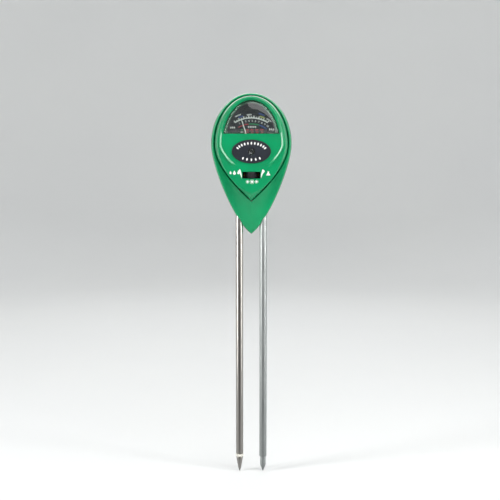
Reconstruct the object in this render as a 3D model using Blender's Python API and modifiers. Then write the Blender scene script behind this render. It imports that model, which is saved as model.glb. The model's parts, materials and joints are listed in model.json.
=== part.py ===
"""A three-way soil meter: an egg-shaped two-shell head on two metal probes.

The head holds a moving-coil meter with its dial and window, a light cell behind a round
window in the oval label, a three-position slide switch, and the holder of the probes.

All sizes are in millimetres and the helpers turn them into metres. +Z is up, the face looks
along -Y, and the origin is midway between the two probe points.
"""

import math
from typing import NamedTuple

import bmesh
import bpy
from mathutils import Matrix, Vector

MM = 0.001

# Overall sizes
HEAD_TOP = 290.0
HEAD_WIDE_Z = 252.5          # level of the widest section
HEAD_HALF_WIDTH = 30.0
HEAD_TIP = 185.2
BACK_Y = 17.0
WALL = 2.0
FACE_Y = -13.5
FACE_WALL = 1.8
CROWN_Y = -17.0              # front of the domed window

# Fits
GAP = 0.35                   # between pieces that touch
SHADOW_GAP = 0.5             # between the two shells, where it shows
SEAM_Y = -5.2                # depth of the seam round the head
SEAM_KEEL_Y = -7.8           # and at the keel of the chin

# Probes
PROBE_X = 9.0
PROBE_R = 2.75
PROBE_SHOULDER = 206.0
STUD_R = 1.5
STUD_TOP = 215.5
TIP_LENGTH = 12.0
SPIGOT_R = 1.2
SPIGOT_LENGTH = 6.0
COLLAR_R = 2.95
COLLAR_HEIGHT = 1.8
TAG_Z = PROBE_SHOULDER + 4.9
TAG_THICK = 0.55

# Face
LABEL_Z = 247.2              # centre of the oval label and of the light window in it
WINDOW_HALF_WIDTH = 21.2
WINDOW_RISE = 32.0           # from the widest level to the top of the window
WINDOW_SILL = 260.1
LABEL_HALF_WIDTH = 14.3
LABEL_HALF_HEIGHT = 8.6
LABEL_THICK = 0.5
WINDOW_THICK = 1.3
LIGHT_R = 2.35
SWITCH_Z = 229.9
SLOT_HALF_WIDTH = 6.6
SLOT_HALF_HEIGHT = 2.5
SWITCH_TRAVEL = 3.5          # each way from the middle position
KNOB_NECK_HALF = 1.7

# Movement
PIVOT_Z = 248.0
REST_ANGLE = -18.0           # degrees, pointer to the left of upright
POINTER_LENGTH = 23.9
POINTER_HUB_R = 1.7
CORE_R = 4.5
YOKE_INNER_R = 7.0
YOKE_OUTER_R = 9.5
YOKE_FRONT = -4.5
YOKE_BACK = 2.5
PLATE_FRONT = YOKE_BACK + 0.3
PLATE_THICK = 1.5
DIAL_FRONT = -6.4
DIAL_THICK = 0.6
DIAL_SILL = 256.0
POINTER_Y = -7.25

# Fastener places, (x, z) on the right-hand side
CASE_POST = (20.3, 246.0)
CASE_POST_LOWER_Z = 220.6
CASE_SPLIT_Y = 4.0           # where the front and rear posts meet
FRAME_POST = (13.5, 237.5)
DIAL_PILLAR = (14.5, 254.5)
SWITCH_POST_X = 10.3

RING_POINTS = 44
SIDES = (("left", -1), ("right", 1))


# ---------------------------------------------------------------- scene and finishes

def clear_scene():
    for old in list(bpy.data.objects):
        bpy.data.objects.remove(old, do_unlink=True)
    for old in list(bpy.data.collections):
        bpy.data.collections.remove(old)


def new_collection(name):
    collection = bpy.data.collections.new(name)
    bpy.context.scene.collection.children.link(collection)
    return collection


def finish(name, colour, roughness, metallic=0.0, alpha=1.0):
    """One Principled material; colour is linear RGB."""
    material = bpy.data.materials.new(name)
    material.use_nodes = True
    shader = material.node_tree.nodes["Principled BSDF"]
    shader.inputs["Base Color"].default_value = (*colour, 1.0)
    shader.inputs["Roughness"].default_value = roughness
    shader.inputs["Metallic"].default_value = metallic
    shader.inputs["Alpha"].default_value = alpha
    return material


# ---------------------------------------------------------------- outlines

class Egg(NamedTuple):
    """An egg outline: half an ellipse above the widest level, a drawn-in curve below it.

    drop is how far the sides stay upright, pull how wide the lower bend is (times the half
    width), and rise how steeply the two sides meet at the bottom (0 is round).
    """

    half_width: float
    top: float
    bottom: float
    drop: float
    pull: float
    rise: float

    def inset(self, distance, tail=1.45):
        """The same form, smaller all round; tail is the share lost at the pointed end."""
        return self._replace(
            half_width=self.half_width - distance,
            top=self.top - distance,
            bottom=self.bottom + tail * distance,
        )

    def towards(self, other, share):
        return Egg(*(a + (b - a) * share for a, b in zip(self, other)))

    def points(self, count=RING_POINTS):
        """(x, z) from the bottom point, up the right side, over the top and down the left."""
        quarter = count // 4
        right = []
        for step in range(quarter):
            right.append(self._flank(1.0 - step / quarter))
        for step in range(quarter):
            angle = 0.5 * math.pi * step / quarter
            right.append((self.half_width * math.cos(angle),
                          HEAD_WIDE_Z + (self.top - HEAD_WIDE_Z) * math.sin(angle)))
        left = [(-x, z) for x, z in reversed(right[1:])]
        return right + [(0.0, self.top)] + left

    def _flank(self, t):
        corners = (
            (self.half_width, HEAD_WIDE_Z),
            (self.half_width, HEAD_WIDE_Z - self.drop),
            (self.half_width * self.pull, self.bottom + self.rise),
            (0.0, self.bottom),
        )
        weights = ((1 - t) ** 3, 3 * t * (1 - t) ** 2, 3 * t * t * (1 - t), t ** 3)
        return tuple(sum(w * c[axis] for w, c in zip(weights, corners)) for axis in (0, 1))


HEAD_OUTLINE = Egg(HEAD_HALF_WIDTH, HEAD_TOP, HEAD_TIP, 17.3, 0.417, 8.8)
SEAM_OUTLINE = Egg(27.2, 288.0, 210.7, 14.5, 0.53, 13.0)      # edge of the front shell
FACE_OUTLINE = Egg(24.6, 287.0, 217.5, 12.5, 0.53, 1.5)       # edge of its flat face


def seam_y(z):
    """Depth of the seam: level round the head, coming forward to the keel of the chin."""
    share = min(max((232.0 - z) / 23.0, 0.0), 1.0)
    return SEAM_Y + (SEAM_KEEL_Y - SEAM_Y) * share * share * (3 - 2 * share)


def ring(outline, y):
    """Outline points in space; y is a number or a function of z."""
    depth = y if callable(y) else lambda _z: y
    return [(x, depth(z), z) for x, z in outline]


def window_outline(grow, count=33):
    """The D of the window: an elliptical arch on a straight sill, grown all round."""
    half_width = WINDOW_HALF_WIDTH + grow
    rise = WINDOW_RISE + grow
    sill = WINDOW_SILL - grow
    start = math.asin((sill - HEAD_WIDE_Z) / rise)
    points = []
    for step in range(count):
        angle = start + (math.pi - 2 * start) * step / (count - 1)
        points.append((half_width * math.cos(angle), HEAD_WIDE_Z + rise * math.sin(angle)))
    end_x = points[0][0]
    sill_steps = 6
    for step in range(1, sill_steps):
        points.append((-end_x + 2 * end_x * step / sill_steps, sill))
    return points


def ellipse(half_width, half_height, centre, count=40):
    """Points round an ellipse about centre, an (x, z)."""
    turns = [2 * math.pi * step / count for step in range(count)]
    return [(centre[0] + half_width * math.cos(turn), centre[1] + half_height * math.sin(turn))
            for turn in turns]


def smooth_route(points, per_span=4):
    """A Catmull-Rom curve through the given points."""
    knots = [Vector(p) for p in points]
    knots = [2 * knots[0] - knots[1]] + knots + [2 * knots[-1] - knots[-2]]
    route = []
    for a, b, c, d in zip(knots, knots[1:], knots[2:], knots[3:]):
        for step in range(per_span):
            t = step / per_span
            route.append(0.5 * ((2 * b) + (c - a) * t + (2 * a - 5 * b + 4 * c - d) * t ** 2
                                + (3 * b - a - 3 * c + d) * t ** 3))
    route.append(knots[-2])
    return route


# ---------------------------------------------------------------- solids

def add_mesh(name, mesh, material, home, parent=None):
    mesh.shade_smooth()
    mesh.set_sharp_from_angle(angle=math.radians(32))
    item = bpy.data.objects.new(name, mesh)
    home.objects.link(item)
    if material:
        mesh.materials.append(material)
    if parent:
        item.parent = parent
    if home is cutters:
        item.hide_render = True
        item.display_type = "WIRE"
    return item


def from_bmesh(name, shape, material, home, parent=None):
    bmesh.ops.scale(shape, vec=(MM, MM, MM), verts=shape.verts)
    bmesh.ops.recalc_face_normals(shape, faces=shape.faces)
    mesh = bpy.data.meshes.new(name)
    shape.to_mesh(mesh)
    shape.free()
    return add_mesh(name, mesh, material, home, parent)


def box(name, low, high, material=None, home=None, parent=None):
    """A box between two corners."""
    shape = bmesh.new()
    bmesh.ops.create_cube(shape, size=1.0)
    size = [b - a for a, b in zip(low, high)]
    centre = [(a + b) / 2 for a, b in zip(low, high)]
    bmesh.ops.scale(shape, vec=size, verts=shape.verts)
    bmesh.ops.translate(shape, vec=centre, verts=shape.verts)
    return from_bmesh(name, shape, material, home or parts, parent)


def post(name, radius, x, z, y_front, y_back, material=None, home=None, segments=16):
    """A cylinder along Y."""
    shape = bmesh.new()
    bmesh.ops.create_cone(shape, cap_ends=True, segments=segments, radius1=radius,
                          radius2=radius, depth=y_back - y_front)
    bmesh.ops.rotate(shape, matrix=Matrix.Rotation(-math.pi / 2, 3, "X"), verts=shape.verts)
    bmesh.ops.translate(shape, vec=(x, (y_front + y_back) / 2, z), verts=shape.verts)
    return from_bmesh(name, shape, material, home or parts)


def bore_up(name, radius, x, low, high, segments=20):
    """A cutter along Z, for a rod or a stud."""
    shape = bmesh.new()
    bmesh.ops.create_cone(shape, cap_ends=True, segments=segments, radius1=radius,
                          radius2=radius, depth=high - low)
    bmesh.ops.translate(shape, vec=(x, 0.0, (low + high) / 2), verts=shape.verts)
    return from_bmesh(name, shape, None, cutters)


def loft(name, rings, material=None, home=None):
    """A solid through rings of equal count, closed flat over the first and the last."""
    shape = bmesh.new()
    rows = [[shape.verts.new(point) for point in points] for points in rings]
    for low, high in zip(rows, rows[1:]):
        for index in range(len(low)):
            after = (index + 1) % len(low)
            shape.faces.new((low[index], low[after], high[after], high[index]))
    shape.faces.new(rows[0])
    shape.faces.new(rows[-1])
    return from_bmesh(name, shape, material, home or parts)


def prism(name, outline, low, high, material, parent=None):
    """A flat outline in (x, y), drawn up from one height to another."""
    shape = bmesh.new()
    face = shape.faces.new([shape.verts.new((x, y, low)) for x, y in outline])
    push = bmesh.ops.extrude_face_region(shape, geom=[face])
    raised = [item for item in push["geom"] if isinstance(item, bmesh.types.BMVert)]
    bmesh.ops.translate(shape, vec=(0.0, 0.0, high - low), verts=raised)
    return from_bmesh(name, shape, material, parts, parent)


def turned(name, profile, material, at, axis="Y", steps=20, closed=False, parent=None):
    """A Screw solid; profile is (radius, along) down the outer side, along +Y or +Z."""
    mesh = bpy.data.meshes.new(name)
    edges = [(i, i + 1) for i in range(len(profile) - 1)]
    if closed:
        edges.append((len(profile) - 1, 0))
    mesh.from_pydata([(r * MM, 0.0, along * MM) for r, along in profile], edges, [])
    mesh.materials.append(material)
    item = bpy.data.objects.new(name, mesh)
    parts.objects.link(item)
    item.location = Vector(at) * MM
    if axis == "Y":
        item.rotation_euler.x = -math.pi / 2
    if parent:
        item.parent = parent
    screw = item.modifiers.new("Turn", "SCREW")
    screw.axis = "Z"
    screw.steps = steps
    screw.render_steps = steps
    screw.use_merge_vertices = True
    screw.merge_threshold = 0.00001
    screw.use_smooth_shade = steps > 8
    return item


def sheet(name, outlines, near, far, material, parent=None, home=None):
    """A flat piece in the XZ plane between two depths; the first outline is its edge."""
    curve = bpy.data.curves.new(name, "CURVE")
    curve.dimensions = "2D"
    curve.fill_mode = "BOTH"
    curve.extrude = (far - near) / 2 * MM
    for outline in outlines:
        spline = curve.splines.new("POLY")
        spline.points.add(len(outline) - 1)
        for point, (x, z) in zip(spline.points, outline):
            point.co = (x * MM, z * MM, 0.0, 1.0)
        spline.use_cyclic_u = True
    curve.materials.append(material)
    item = bpy.data.objects.new(name, curve)
    (home or parts).objects.link(item)
    item.rotation_euler.x = math.pi / 2
    item.location.y = (near + far) / 2 * MM
    if parent:
        item.parent = parent
    return item


def as_mesh(item):
    """The flat curve as a closed mesh object that Boolean modifiers can cut."""
    bpy.context.view_layer.update()
    evaluated = item.evaluated_get(bpy.context.evaluated_depsgraph_get())
    mesh = bpy.data.meshes.new_from_object(evaluated)
    shape = bmesh.new()
    shape.from_mesh(mesh)
    bmesh.ops.remove_doubles(shape, verts=shape.verts, dist=0.00001)
    bmesh.ops.recalc_face_normals(shape, faces=shape.faces)
    shape.to_mesh(mesh)
    shape.free()
    name, parent, place = item.name, item.parent, item.matrix_world.copy()
    home = item.users_collection[0]
    bpy.data.objects.remove(item)
    mesh.name = name
    solid = bpy.data.objects.new(name, mesh)
    home.objects.link(solid)
    solid.matrix_world = place
    if parent:
        solid.parent = parent
        solid.matrix_parent_inverse = parent.matrix_world.inverted()
    if home is cutters:
        solid.hide_render = True
        solid.display_type = "WIRE"
    return solid


def wire(name, points, radius, material, parent=None, per_span=4, resolution=1):
    """A round wire along a smooth route."""
    route = smooth_route(points, per_span) if per_span else [Vector(p) for p in points]
    curve = bpy.data.curves.new(name, "CURVE")
    curve.dimensions = "3D"
    curve.bevel_depth = radius * MM
    curve.bevel_resolution = resolution
    curve.use_fill_caps = True
    spline = curve.splines.new("POLY")
    spline.points.add(len(route) - 1)
    for point, place in zip(spline.points, route):
        point.co = (*(place * MM), 1.0)
    curve.materials.append(material)
    item = bpy.data.objects.new(name, curve)
    parts.objects.link(item)
    if parent:
        item.parent = parent
    return item


def boolean(item, tool, operation):
    step = item.modifiers.new(f"{operation.title()} {tool.name}", "BOOLEAN")
    step.operation = operation
    step.solver = "EXACT"
    step.object = tool


def cut(item, *tools):
    for tool in tools:
        boolean(item, tool, "DIFFERENCE")


def join(item, *tools):
    for tool in tools:
        boolean(item, tool, "UNION")


def axis_empty(name, place, turn_y=0.0):
    """The empty on a joint's axis that the joint's pieces hang from."""
    empty = bpy.data.objects.new(name, None)
    parts.objects.link(empty)
    empty.location = Vector(place) * MM
    empty.rotation_euler.y = math.radians(turn_y)
    bpy.context.view_layer.update()
    return empty


# ---------------------------------------------------------------- the case

def back_ring(angle, wall):
    """A ring of the rear bowl; the angle runs from the side, 0, to the flat back, 90."""
    turn = math.radians(angle)
    inset = 14.0 * (1 - math.cos(turn)) + wall
    return ring(HEAD_OUTLINE.inset(inset, tail=2.6).points(), (BACK_Y - wall) * math.sin(turn))


def chin_y(level):
    """Depth of a ring in front of the side line: level, drawn back towards the tip."""
    def depth(z):
        share = min(max((z - HEAD_TIP) / 32.0, 0.0), 1.0)
        return level * (0.4 + 0.6 * share)
    return depth


def build_rear_shell(material):
    opening = SEAM_OUTLINE.inset(-SHADOW_GAP).points()
    rings = [back_ring(angle, 0.0) for angle in (90, 75, 60, 45, 30, 15, 0)]
    rings += [
        ring(HEAD_OUTLINE.inset(0.15).points(), chin_y(-3.0)),
        ring(HEAD_OUTLINE.inset(0.6).points(), chin_y(-4.6)),
        ring(HEAD_OUTLINE.inset(1.3).points(), chin_y(-5.3)),
        ring(opening, seam_y),
        ring(opening, lambda z: seam_y(z) + FACE_WALL),
        ring(HEAD_OUTLINE.inset(WALL + 0.4, tail=2.6).points(), chin_y(-3.1)),
    ]
    rings += [back_ring(angle, WALL) for angle in (0, 15, 30, 45, 60, 75, 90)]
    shell = loft("rear_shell", rings, material)
    places = [(side * CASE_POST[0], CASE_POST[1]) for _, side in SIDES]
    for number, (x, z) in enumerate(places + [(0.0, CASE_POST_LOWER_Z)]):
        join(shell, post(f"rear_post_{number}", 2.9, x, z, CASE_SPLIT_Y, BACK_Y - 1.6,
                         home=cutters))
        cut(shell,
            post(f"rear_head_bore_{number}", 2.2, x, z, 8.0, BACK_Y + 2.0, home=cutters),
            post(f"rear_shank_bore_{number}", 1.3, x, z, 2.0, 9.0, home=cutters))
    for name, side in SIDES:
        cut(shell, bore_up(f"probe_hole_{name}", PROBE_R + GAP, side * PROBE_X, 175.0, 207.0))
    return shell


def build_front_shell(material):
    skirt = 1.0
    inner = skirt + 1.4
    face_inner = FACE_Y + FACE_WALL

    def between(share):
        return lambda z: seam_y(z) + (FACE_Y - seam_y(z)) * share

    def inside(share):
        return lambda z: seam_y(z) + (face_inner - seam_y(z)) * share

    rings = [
        ring(FACE_OUTLINE.points(), FACE_Y),
        ring(SEAM_OUTLINE.towards(FACE_OUTLINE, 0.86).points(), between(0.965)),
        ring(SEAM_OUTLINE.towards(FACE_OUTLINE, 0.6).points(), between(0.84)),
        ring(SEAM_OUTLINE.towards(FACE_OUTLINE, 0.3).points(), between(0.5)),
        ring(SEAM_OUTLINE.towards(FACE_OUTLINE, 0.06).points(), between(0.12)),
        ring(SEAM_OUTLINE.points(), between(0.0)),
        ring(SEAM_OUTLINE.points(), lambda z: seam_y(z) + FACE_WALL),
        ring(SEAM_OUTLINE.inset(skirt).points(), lambda z: seam_y(z) + FACE_WALL),
        ring(SEAM_OUTLINE.inset(skirt).points(), lambda z: seam_y(z) + 4.0),
        ring(SEAM_OUTLINE.inset(inner).points(), lambda z: seam_y(z) + 4.0),
        ring(SEAM_OUTLINE.inset(inner).points(), inside(0.0)),
        ring(SEAM_OUTLINE.towards(FACE_OUTLINE, 0.4).inset(1.9).points(), inside(0.6)),
        ring(FACE_OUTLINE.inset(1.3).points(), face_inner),
    ]
    shell = loft("front_shell", rings, material)

    through = (FACE_Y - 2.0, face_inner + 2.0)
    window_hole = loft("window_hole", [ring(window_outline(0.0), y) for y in through],
                       home=cutters)
    slot = box("switch_slot", (-SLOT_HALF_WIDTH, through[0], SWITCH_Z - SLOT_HALF_HEIGHT),
               (SLOT_HALF_WIDTH, through[1], SWITCH_Z + SLOT_HALF_HEIGHT), home=cutters)
    light_hole = post("light_hole", LIGHT_R + GAP, 0.0, LABEL_Z, *through, home=cutters)
    light_seat = post("light_seat", 3.5, 0.0, LABEL_Z, face_inner - 0.8, face_inner + 1.0,
                      home=cutters)
    cut(shell, window_hole, slot, light_hole, light_seat)

    root = face_inner - 0.5
    bore_front = face_inner + 1.5
    places = [(side * CASE_POST[0], CASE_POST[1], 2.4) for _, side in SIDES]
    places.append((0.0, CASE_POST_LOWER_Z, 2.2))
    for number, (x, z, radius) in enumerate(places):
        join(shell, post(f"front_post_{number}", radius, x, z, root, CASE_SPLIT_Y - 0.3,
                         home=cutters))
        cut(shell, post(f"front_bore_{number}", 1.2, x, z, bore_front, CASE_SPLIT_Y + 1.0,
                        home=cutters, segments=14))
    for name, side in SIDES:
        x = side * FRAME_POST[0]
        join(shell, post(f"frame_post_{name}", 2.0, x, FRAME_POST[1], root, YOKE_BACK,
                         home=cutters))
        cut(shell, post(f"frame_bore_{name}", 1.0, x, FRAME_POST[1], -6.0, YOKE_BACK + 1.0,
                        home=cutters, segments=14))
        x = side * SWITCH_POST_X
        join(shell, post(f"switch_post_{name}", 1.6, x, SWITCH_Z, root, -7.9, home=cutters))
        cut(shell, post(f"switch_bore_{name}", 0.9, x, SWITCH_Z, bore_front, -7.0,
                        home=cutters, segments=14))
    return shell


def build_window(material):
    """The domed clear window, from its crown out to the flange and back up its inside."""
    steps = ((9.5, CROWN_Y), (5.5, -16.6), (2.6, -16.0), (1.0, -15.4), (0.35, -14.8),
             (0.0, -14.1))
    flange_front = FACE_Y + FACE_WALL + GAP
    flange_back = FACE_Y + FACE_WALL + WINDOW_THICK
    rings = [ring(window_outline(-GAP - inset), y) for inset, y in steps]
    rings += [
        ring(window_outline(-GAP), flange_front),
        ring(window_outline(0.8), flange_front),
        ring(window_outline(0.8), flange_back),
        ring(window_outline(-GAP - WINDOW_THICK), flange_back),
    ]
    rings += [ring(window_outline(-GAP - WINDOW_THICK - inset * 0.95), y + WINDOW_THICK)
              for inset, y in reversed(steps)]
    return loft("dial_window", rings, material)


def case_screw(name, x, z, material):
    profile = [(0.0, 9.8), (1.5, 9.8), (1.9, 9.3), (1.9, 8.35), (0.85, 8.35), (0.85, -5.0),
               (0.0, -6.0)]
    turned(name, profile, material, (x, 0.0, z))


# ---------------------------------------------------------------- the face

def build_label(material):
    centre = (0.0, LABEL_Z)
    outline = ellipse(LABEL_HALF_WIDTH, LABEL_HALF_HEIGHT, centre)
    hole = ellipse(LIGHT_R + GAP, LIGHT_R + GAP, centre, 24)
    near = FACE_Y - GAP - LABEL_THICK
    sheet("face_label", [outline, hole], near, near + LABEL_THICK, material)


def build_light_window(lens, cell):
    flange_back = FACE_Y + FACE_WALL + 0.2
    profile = [(0.0, flange_back), (3.15, flange_back), (3.15, flange_back - 0.65),
               (LIGHT_R, flange_back - 0.65), (LIGHT_R, FACE_Y + 0.1), (1.9, FACE_Y - 0.15),
               (0.0, FACE_Y - 0.3)]
    turned("light_window", profile, lens, (0.0, 0.0, LABEL_Z), steps=24)
    post("photocell", 3.0, 0.0, LABEL_Z, -11.1, -10.4, cell, segments=24)


# ---------------------------------------------------------------- the switch

def build_switch(can_steel, board, plastic, brass, screw_steel):
    z = SWITCH_Z
    wall = 0.6
    front = FACE_Y + FACE_WALL + GAP
    back = -7.0
    half_x, half_z = 8.5, 3.2
    slot_reach = KNOB_NECK_HALF + SWITCH_TRAVEL + 0.8
    can = box("switch_can", (-half_x, front, z - half_z), (half_x, back, z + half_z), can_steel)
    join(can, box("switch_ears", (-11.9, back - wall, z - 1.7), (11.9, back, z + 1.7),
                  home=cutters))
    cut(can,
        box("can_inside", (-half_x + wall, front + wall, z - half_z + wall),
            (half_x - wall, back + 2.0, z + half_z - wall), home=cutters),
        box("can_slot", (-slot_reach, front - 1.0, z - 1.4),
            (slot_reach, front + 2.0, z + 1.4), home=cutters))
    for name, side in SIDES:
        x = side * SWITCH_POST_X
        cut(can, post(f"ear_hole_{name}", 1.0, x, z, back - 2.0, back + 1.0, home=cutters,
                      segments=14))
        profile = [(0.0, -5.8), (1.0, -5.8), (1.4, -6.1), (1.4, -6.65), (0.6, -6.65),
                   (0.6, -9.6), (0.0, -10.0)]
        turned(f"switch_screw_{name}", profile, screw_steel, (x, 0.0, z), steps=16)

    board_item = box("switch_board", (-half_x, back + 0.3, z - half_z),
                     (half_x, back + 1.3, z + half_z), board)
    for number in range(4):
        x = (number - 1.5) * 3.4
        cut(board_item, box(f"terminal_slot_{number}", (x - 0.6, back - 1.0, z - 1.3),
                            (x + 0.6, back + 3.0, z + 1.3), home=cutters))
        box(f"switch_terminal_{number + 1}", (x - 0.25, back + 0.3, z - 0.95),
            (x + 0.25, back + 4.6, z + 0.95), brass)

    # The slider's pieces are modelled about the switch's middle position.
    travel = axis_empty("switch_travel", (0.0, 0.0, z))
    knob = box("switch_knob", (-2.7, -14.6, -2.1), (2.7, -11.8, 2.1), plastic, parent=travel)
    neck = box("knob_neck", (-KNOB_NECK_HALF, -12.3, -1.0), (KNOB_NECK_HALF, -10.0, 1.0),
               home=cutters, parent=travel)
    carriage = box("knob_carriage", (-3.4, -10.4, -2.5), (3.4, -8.5, 2.5), home=cutters,
                   parent=travel)
    join(knob, neck, carriage)
    for number in range(4):
        x = (number - 1.5) * 1.2
        cut(knob, box(f"knob_groove_{number}", (x - 0.25, -15.0, -3.0), (x + 0.25, -14.1, 3.0),
                      home=cutters, parent=travel))
    outline = [(-2.4, -8.2), (2.4, -8.2), (3.1, -7.1), (2.5, -7.1), (2.1, -7.8), (-2.1, -7.8),
               (-2.5, -7.1), (-3.1, -7.1)]
    prism("switch_wiper", outline, -1.0, 1.0, brass, travel)


# ---------------------------------------------------------------- the movement

def build_dial(material, screw_steel):
    outline = window_outline(0.6)
    sill = DIAL_SILL
    arch = [(x, max(z, sill)) for x, z in outline if z > WINDOW_SILL]
    x, z = DIAL_PILLAR
    ears = [(-arch[0][0], sill), (-x - 2.6, sill), (-x - 2.6, z - 2.6), (-x + 2.6, z - 2.6),
            (-x + 2.6, sill), (x - 2.6, sill), (x - 2.6, z - 2.6), (x + 2.6, z - 2.6),
            (x + 2.6, sill), (arch[0][0], sill)]
    holes = [ellipse(1.1, 1.1, (side * x, z), 12) for _, side in SIDES]
    sheet("dial_plate", [arch + ears] + holes, DIAL_FRONT, DIAL_FRONT + DIAL_THICK, material)
    for name, side in SIDES:
        top = DIAL_FRONT - 0.3
        profile = [(0.0, -1.5), (0.65, -1.9), (0.65, top), (1.7, top), (1.7, top - 0.4),
                   (1.3, top - 0.7), (0.0, top - 0.7)]
        turned(f"dial_screw_{name}", profile, screw_steel, (side * x, 0.0, z), steps=16)


def build_frame(material, screw_steel):
    """The moulded plate behind the yoke, with the dial's pillars and the rear cross-bar."""
    low, high = PLATE_FRONT, PLATE_FRONT + PLATE_THICK
    frame = box("movement_frame", (-17.0, low, 234.5), (17.0, high, 259.5), material)
    for name, side in SIDES:
        x, z = side * DIAL_PILLAR[0], DIAL_PILLAR[1]
        join(frame, post(f"dial_pillar_{name}", 1.9, x, z, DIAL_FRONT + DIAL_THICK + 0.3,
                         low + 0.5, home=cutters))
        cut(frame, post(f"pillar_bore_{name}", 1.0, x, z, DIAL_FRONT - 1.0, -1.0,
                        home=cutters, segments=14))
        inner, outer = sorted((side * 8.6, side * 12.0))
        join(frame, box(f"bar_foot_{name}", (inner, high - 0.5, PIVOT_Z - 2.0),
                        (outer, 6.0, PIVOT_Z + 2.0), home=cutters))
        x = side * FRAME_POST[0]
        cut(frame, post(f"frame_hole_{name}", 1.1, x, FRAME_POST[1], low - 1.0, high + 1.0,
                        home=cutters, segments=14))
        profile = [(0.0, high + 1.1), (1.5, high + 1.1), (1.8, high + 0.8),
                   (1.8, high + 0.3), (0.7, high + 0.3), (0.7, -4.5), (0.0, -5.0)]
        turned(f"movement_screw_{name}", profile, screw_steel, (x, 0.0, FRAME_POST[1]),
               steps=16)
    cut(frame, post("coil_hole", 8.0, 0.0, PIVOT_Z, low - 1.0, high + 1.0, home=cutters,
                    segments=32))
    join(frame, box("cross_bar", (-12.0, 5.3, PIVOT_Z - 2.0), (12.0, 6.4, PIVOT_Z + 2.0),
                    home=cutters))
    cut(frame, post("rear_jewel_hole", 1.75, 0.0, PIVOT_Z, 4.9, 7.0, home=cutters))
    return frame


def build_magnet(magnet, iron, zinc):
    at = (0.0, 0.0, PIVOT_Z)
    post("core_magnet", CORE_R, 0.0, PIVOT_Z, YOKE_FRONT + 1.0, YOKE_BACK - 1.0, magnet,
         segments=32)
    loop = [(YOKE_OUTER_R, YOKE_BACK), (YOKE_OUTER_R, YOKE_FRONT), (YOKE_INNER_R, YOKE_FRONT),
            (YOKE_INNER_R, YOKE_BACK)]
    turned("yoke_ring", loop, iron, at, steps=36, closed=True)
    for name, side in (("upper", 1), ("lower", -1)):
        low, high = sorted((side * (CORE_R + 0.35), side * (YOKE_INNER_R - 0.35)))
        box(f"core_spacer_{name}", (-1.2, YOKE_FRONT + 1.2, PIVOT_Z + low),
            (1.2, YOKE_BACK - 1.2, PIVOT_Z + high), zinc)


def rectangular_ring(name, inner, outer, half_z, material, parent, bevel):
    """A flat-wound frame round the core: inner and outer are (half_x, front, back)."""
    def corners(half_x, front, back):
        return (-half_x, front, -half_z), (half_x, back, half_z)
    item = box(name, *corners(*outer), material, parent=parent)
    soften = item.modifiers.new("Wound corners", "BEVEL")
    soften.width = bevel * MM
    soften.segments = 2
    soften.limit_method = "WEIGHT"
    weights = item.data.attributes.new("bevel_weight_edge", "FLOAT", "EDGE")
    for edge in item.data.edges:
        a, b = (item.data.vertices[i].co for i in edge.vertices)
        weights.data[edge.index].value = 1.0 if abs(a.z - b.z) > 0.5 * MM else 0.0
    low, high = corners(*inner)
    hole = box(f"{name}_hole", (low[0], low[1], -half_z - 1.0), (high[0], high[1], half_z + 1.0),
               home=cutters, parent=parent)
    cut(item, hole)
    return item


def build_coil(pointer_paint, aluminium, copper, steel, brass):
    """Everything that swings on the pointer's axis, modelled upright about that axis."""
    swing = axis_empty("pointer_axis", (0.0, 0.0, PIVOT_Z), turn_y=REST_ANGLE)
    rectangular_ring("coil_former", (4.9, -3.9, 1.9), (5.2, -4.2, 2.2), 1.9, aluminium,
                     swing, 0.2)
    rectangular_ring("coil_winding", (5.5, -4.5, 2.5), (6.4, -5.4, 3.4), 1.9, copper,
                     swing, 0.8)
    front = [(0.0, -5.7), (1.3, -5.7), (1.3, -6.1), (0.45, -6.1), (0.45, -8.1), (0.0, -8.5)]
    turned("front_pivot", front, steel, (0.0, 0.0, 0.0), steps=16, parent=swing)
    rear = [(0.0, 5.6), (0.45, 5.2), (0.45, 4.1), (1.3, 4.1), (1.3, 3.75), (0.0, 3.75)]
    turned("rear_pivot", rear, steel, (0.0, 0.0, 0.0), steps=16, parent=swing)

    def hub(first, last):
        turns = [math.radians(turn) for turn in range(first, last + 1, 15)]
        return [(POINTER_HUB_R * math.cos(turn), POINTER_HUB_R * math.sin(turn))
                for turn in turns]

    shoulder = POINTER_LENGTH - 1.0
    arm = [(0.42, 12.0), (0.28, shoulder), (0.12, POINTER_LENGTH),
           (-0.12, POINTER_LENGTH), (-0.28, shoulder), (-0.42, 12.0)]
    tail = [(-0.32, -8.0), (0.32, -8.0)]
    outline = hub(30, 75) + arm + hub(105, 150) + hub(210, 255) + tail + hub(285, 330)
    bore = ellipse(0.8, 0.8, (0.0, 0.0), 16)
    sheet("pointer", [outline, bore], POINTER_Y - 0.2, POINTER_Y + 0.2, pointer_paint,
          parent=swing)
    loop = [(1.25, -5.0), (1.25, -7.2), (0.7, -7.2), (0.7, -5.0)]
    turned("pointer_weight", loop, brass, (0.0, POINTER_Y, 0.0), axis="Z", steps=14,
           closed=True, parent=swing)


def hairspring(name, y, material, turns=3.0):
    """A flat spiral from its collet at the axis out to its anchor."""
    inner, outer, per_turn = 0.95, 4.0, 16
    count = int(turns * per_turn)
    points = []
    for step in range(count + 1):
        angle = 2 * math.pi * step / per_turn
        radius = inner + (outer - inner) * step / count
        points.append((radius * math.sin(angle), y, PIVOT_Z + radius * math.cos(angle)))
    wire(name, points, 0.14, material, per_span=0, resolution=0)


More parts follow.
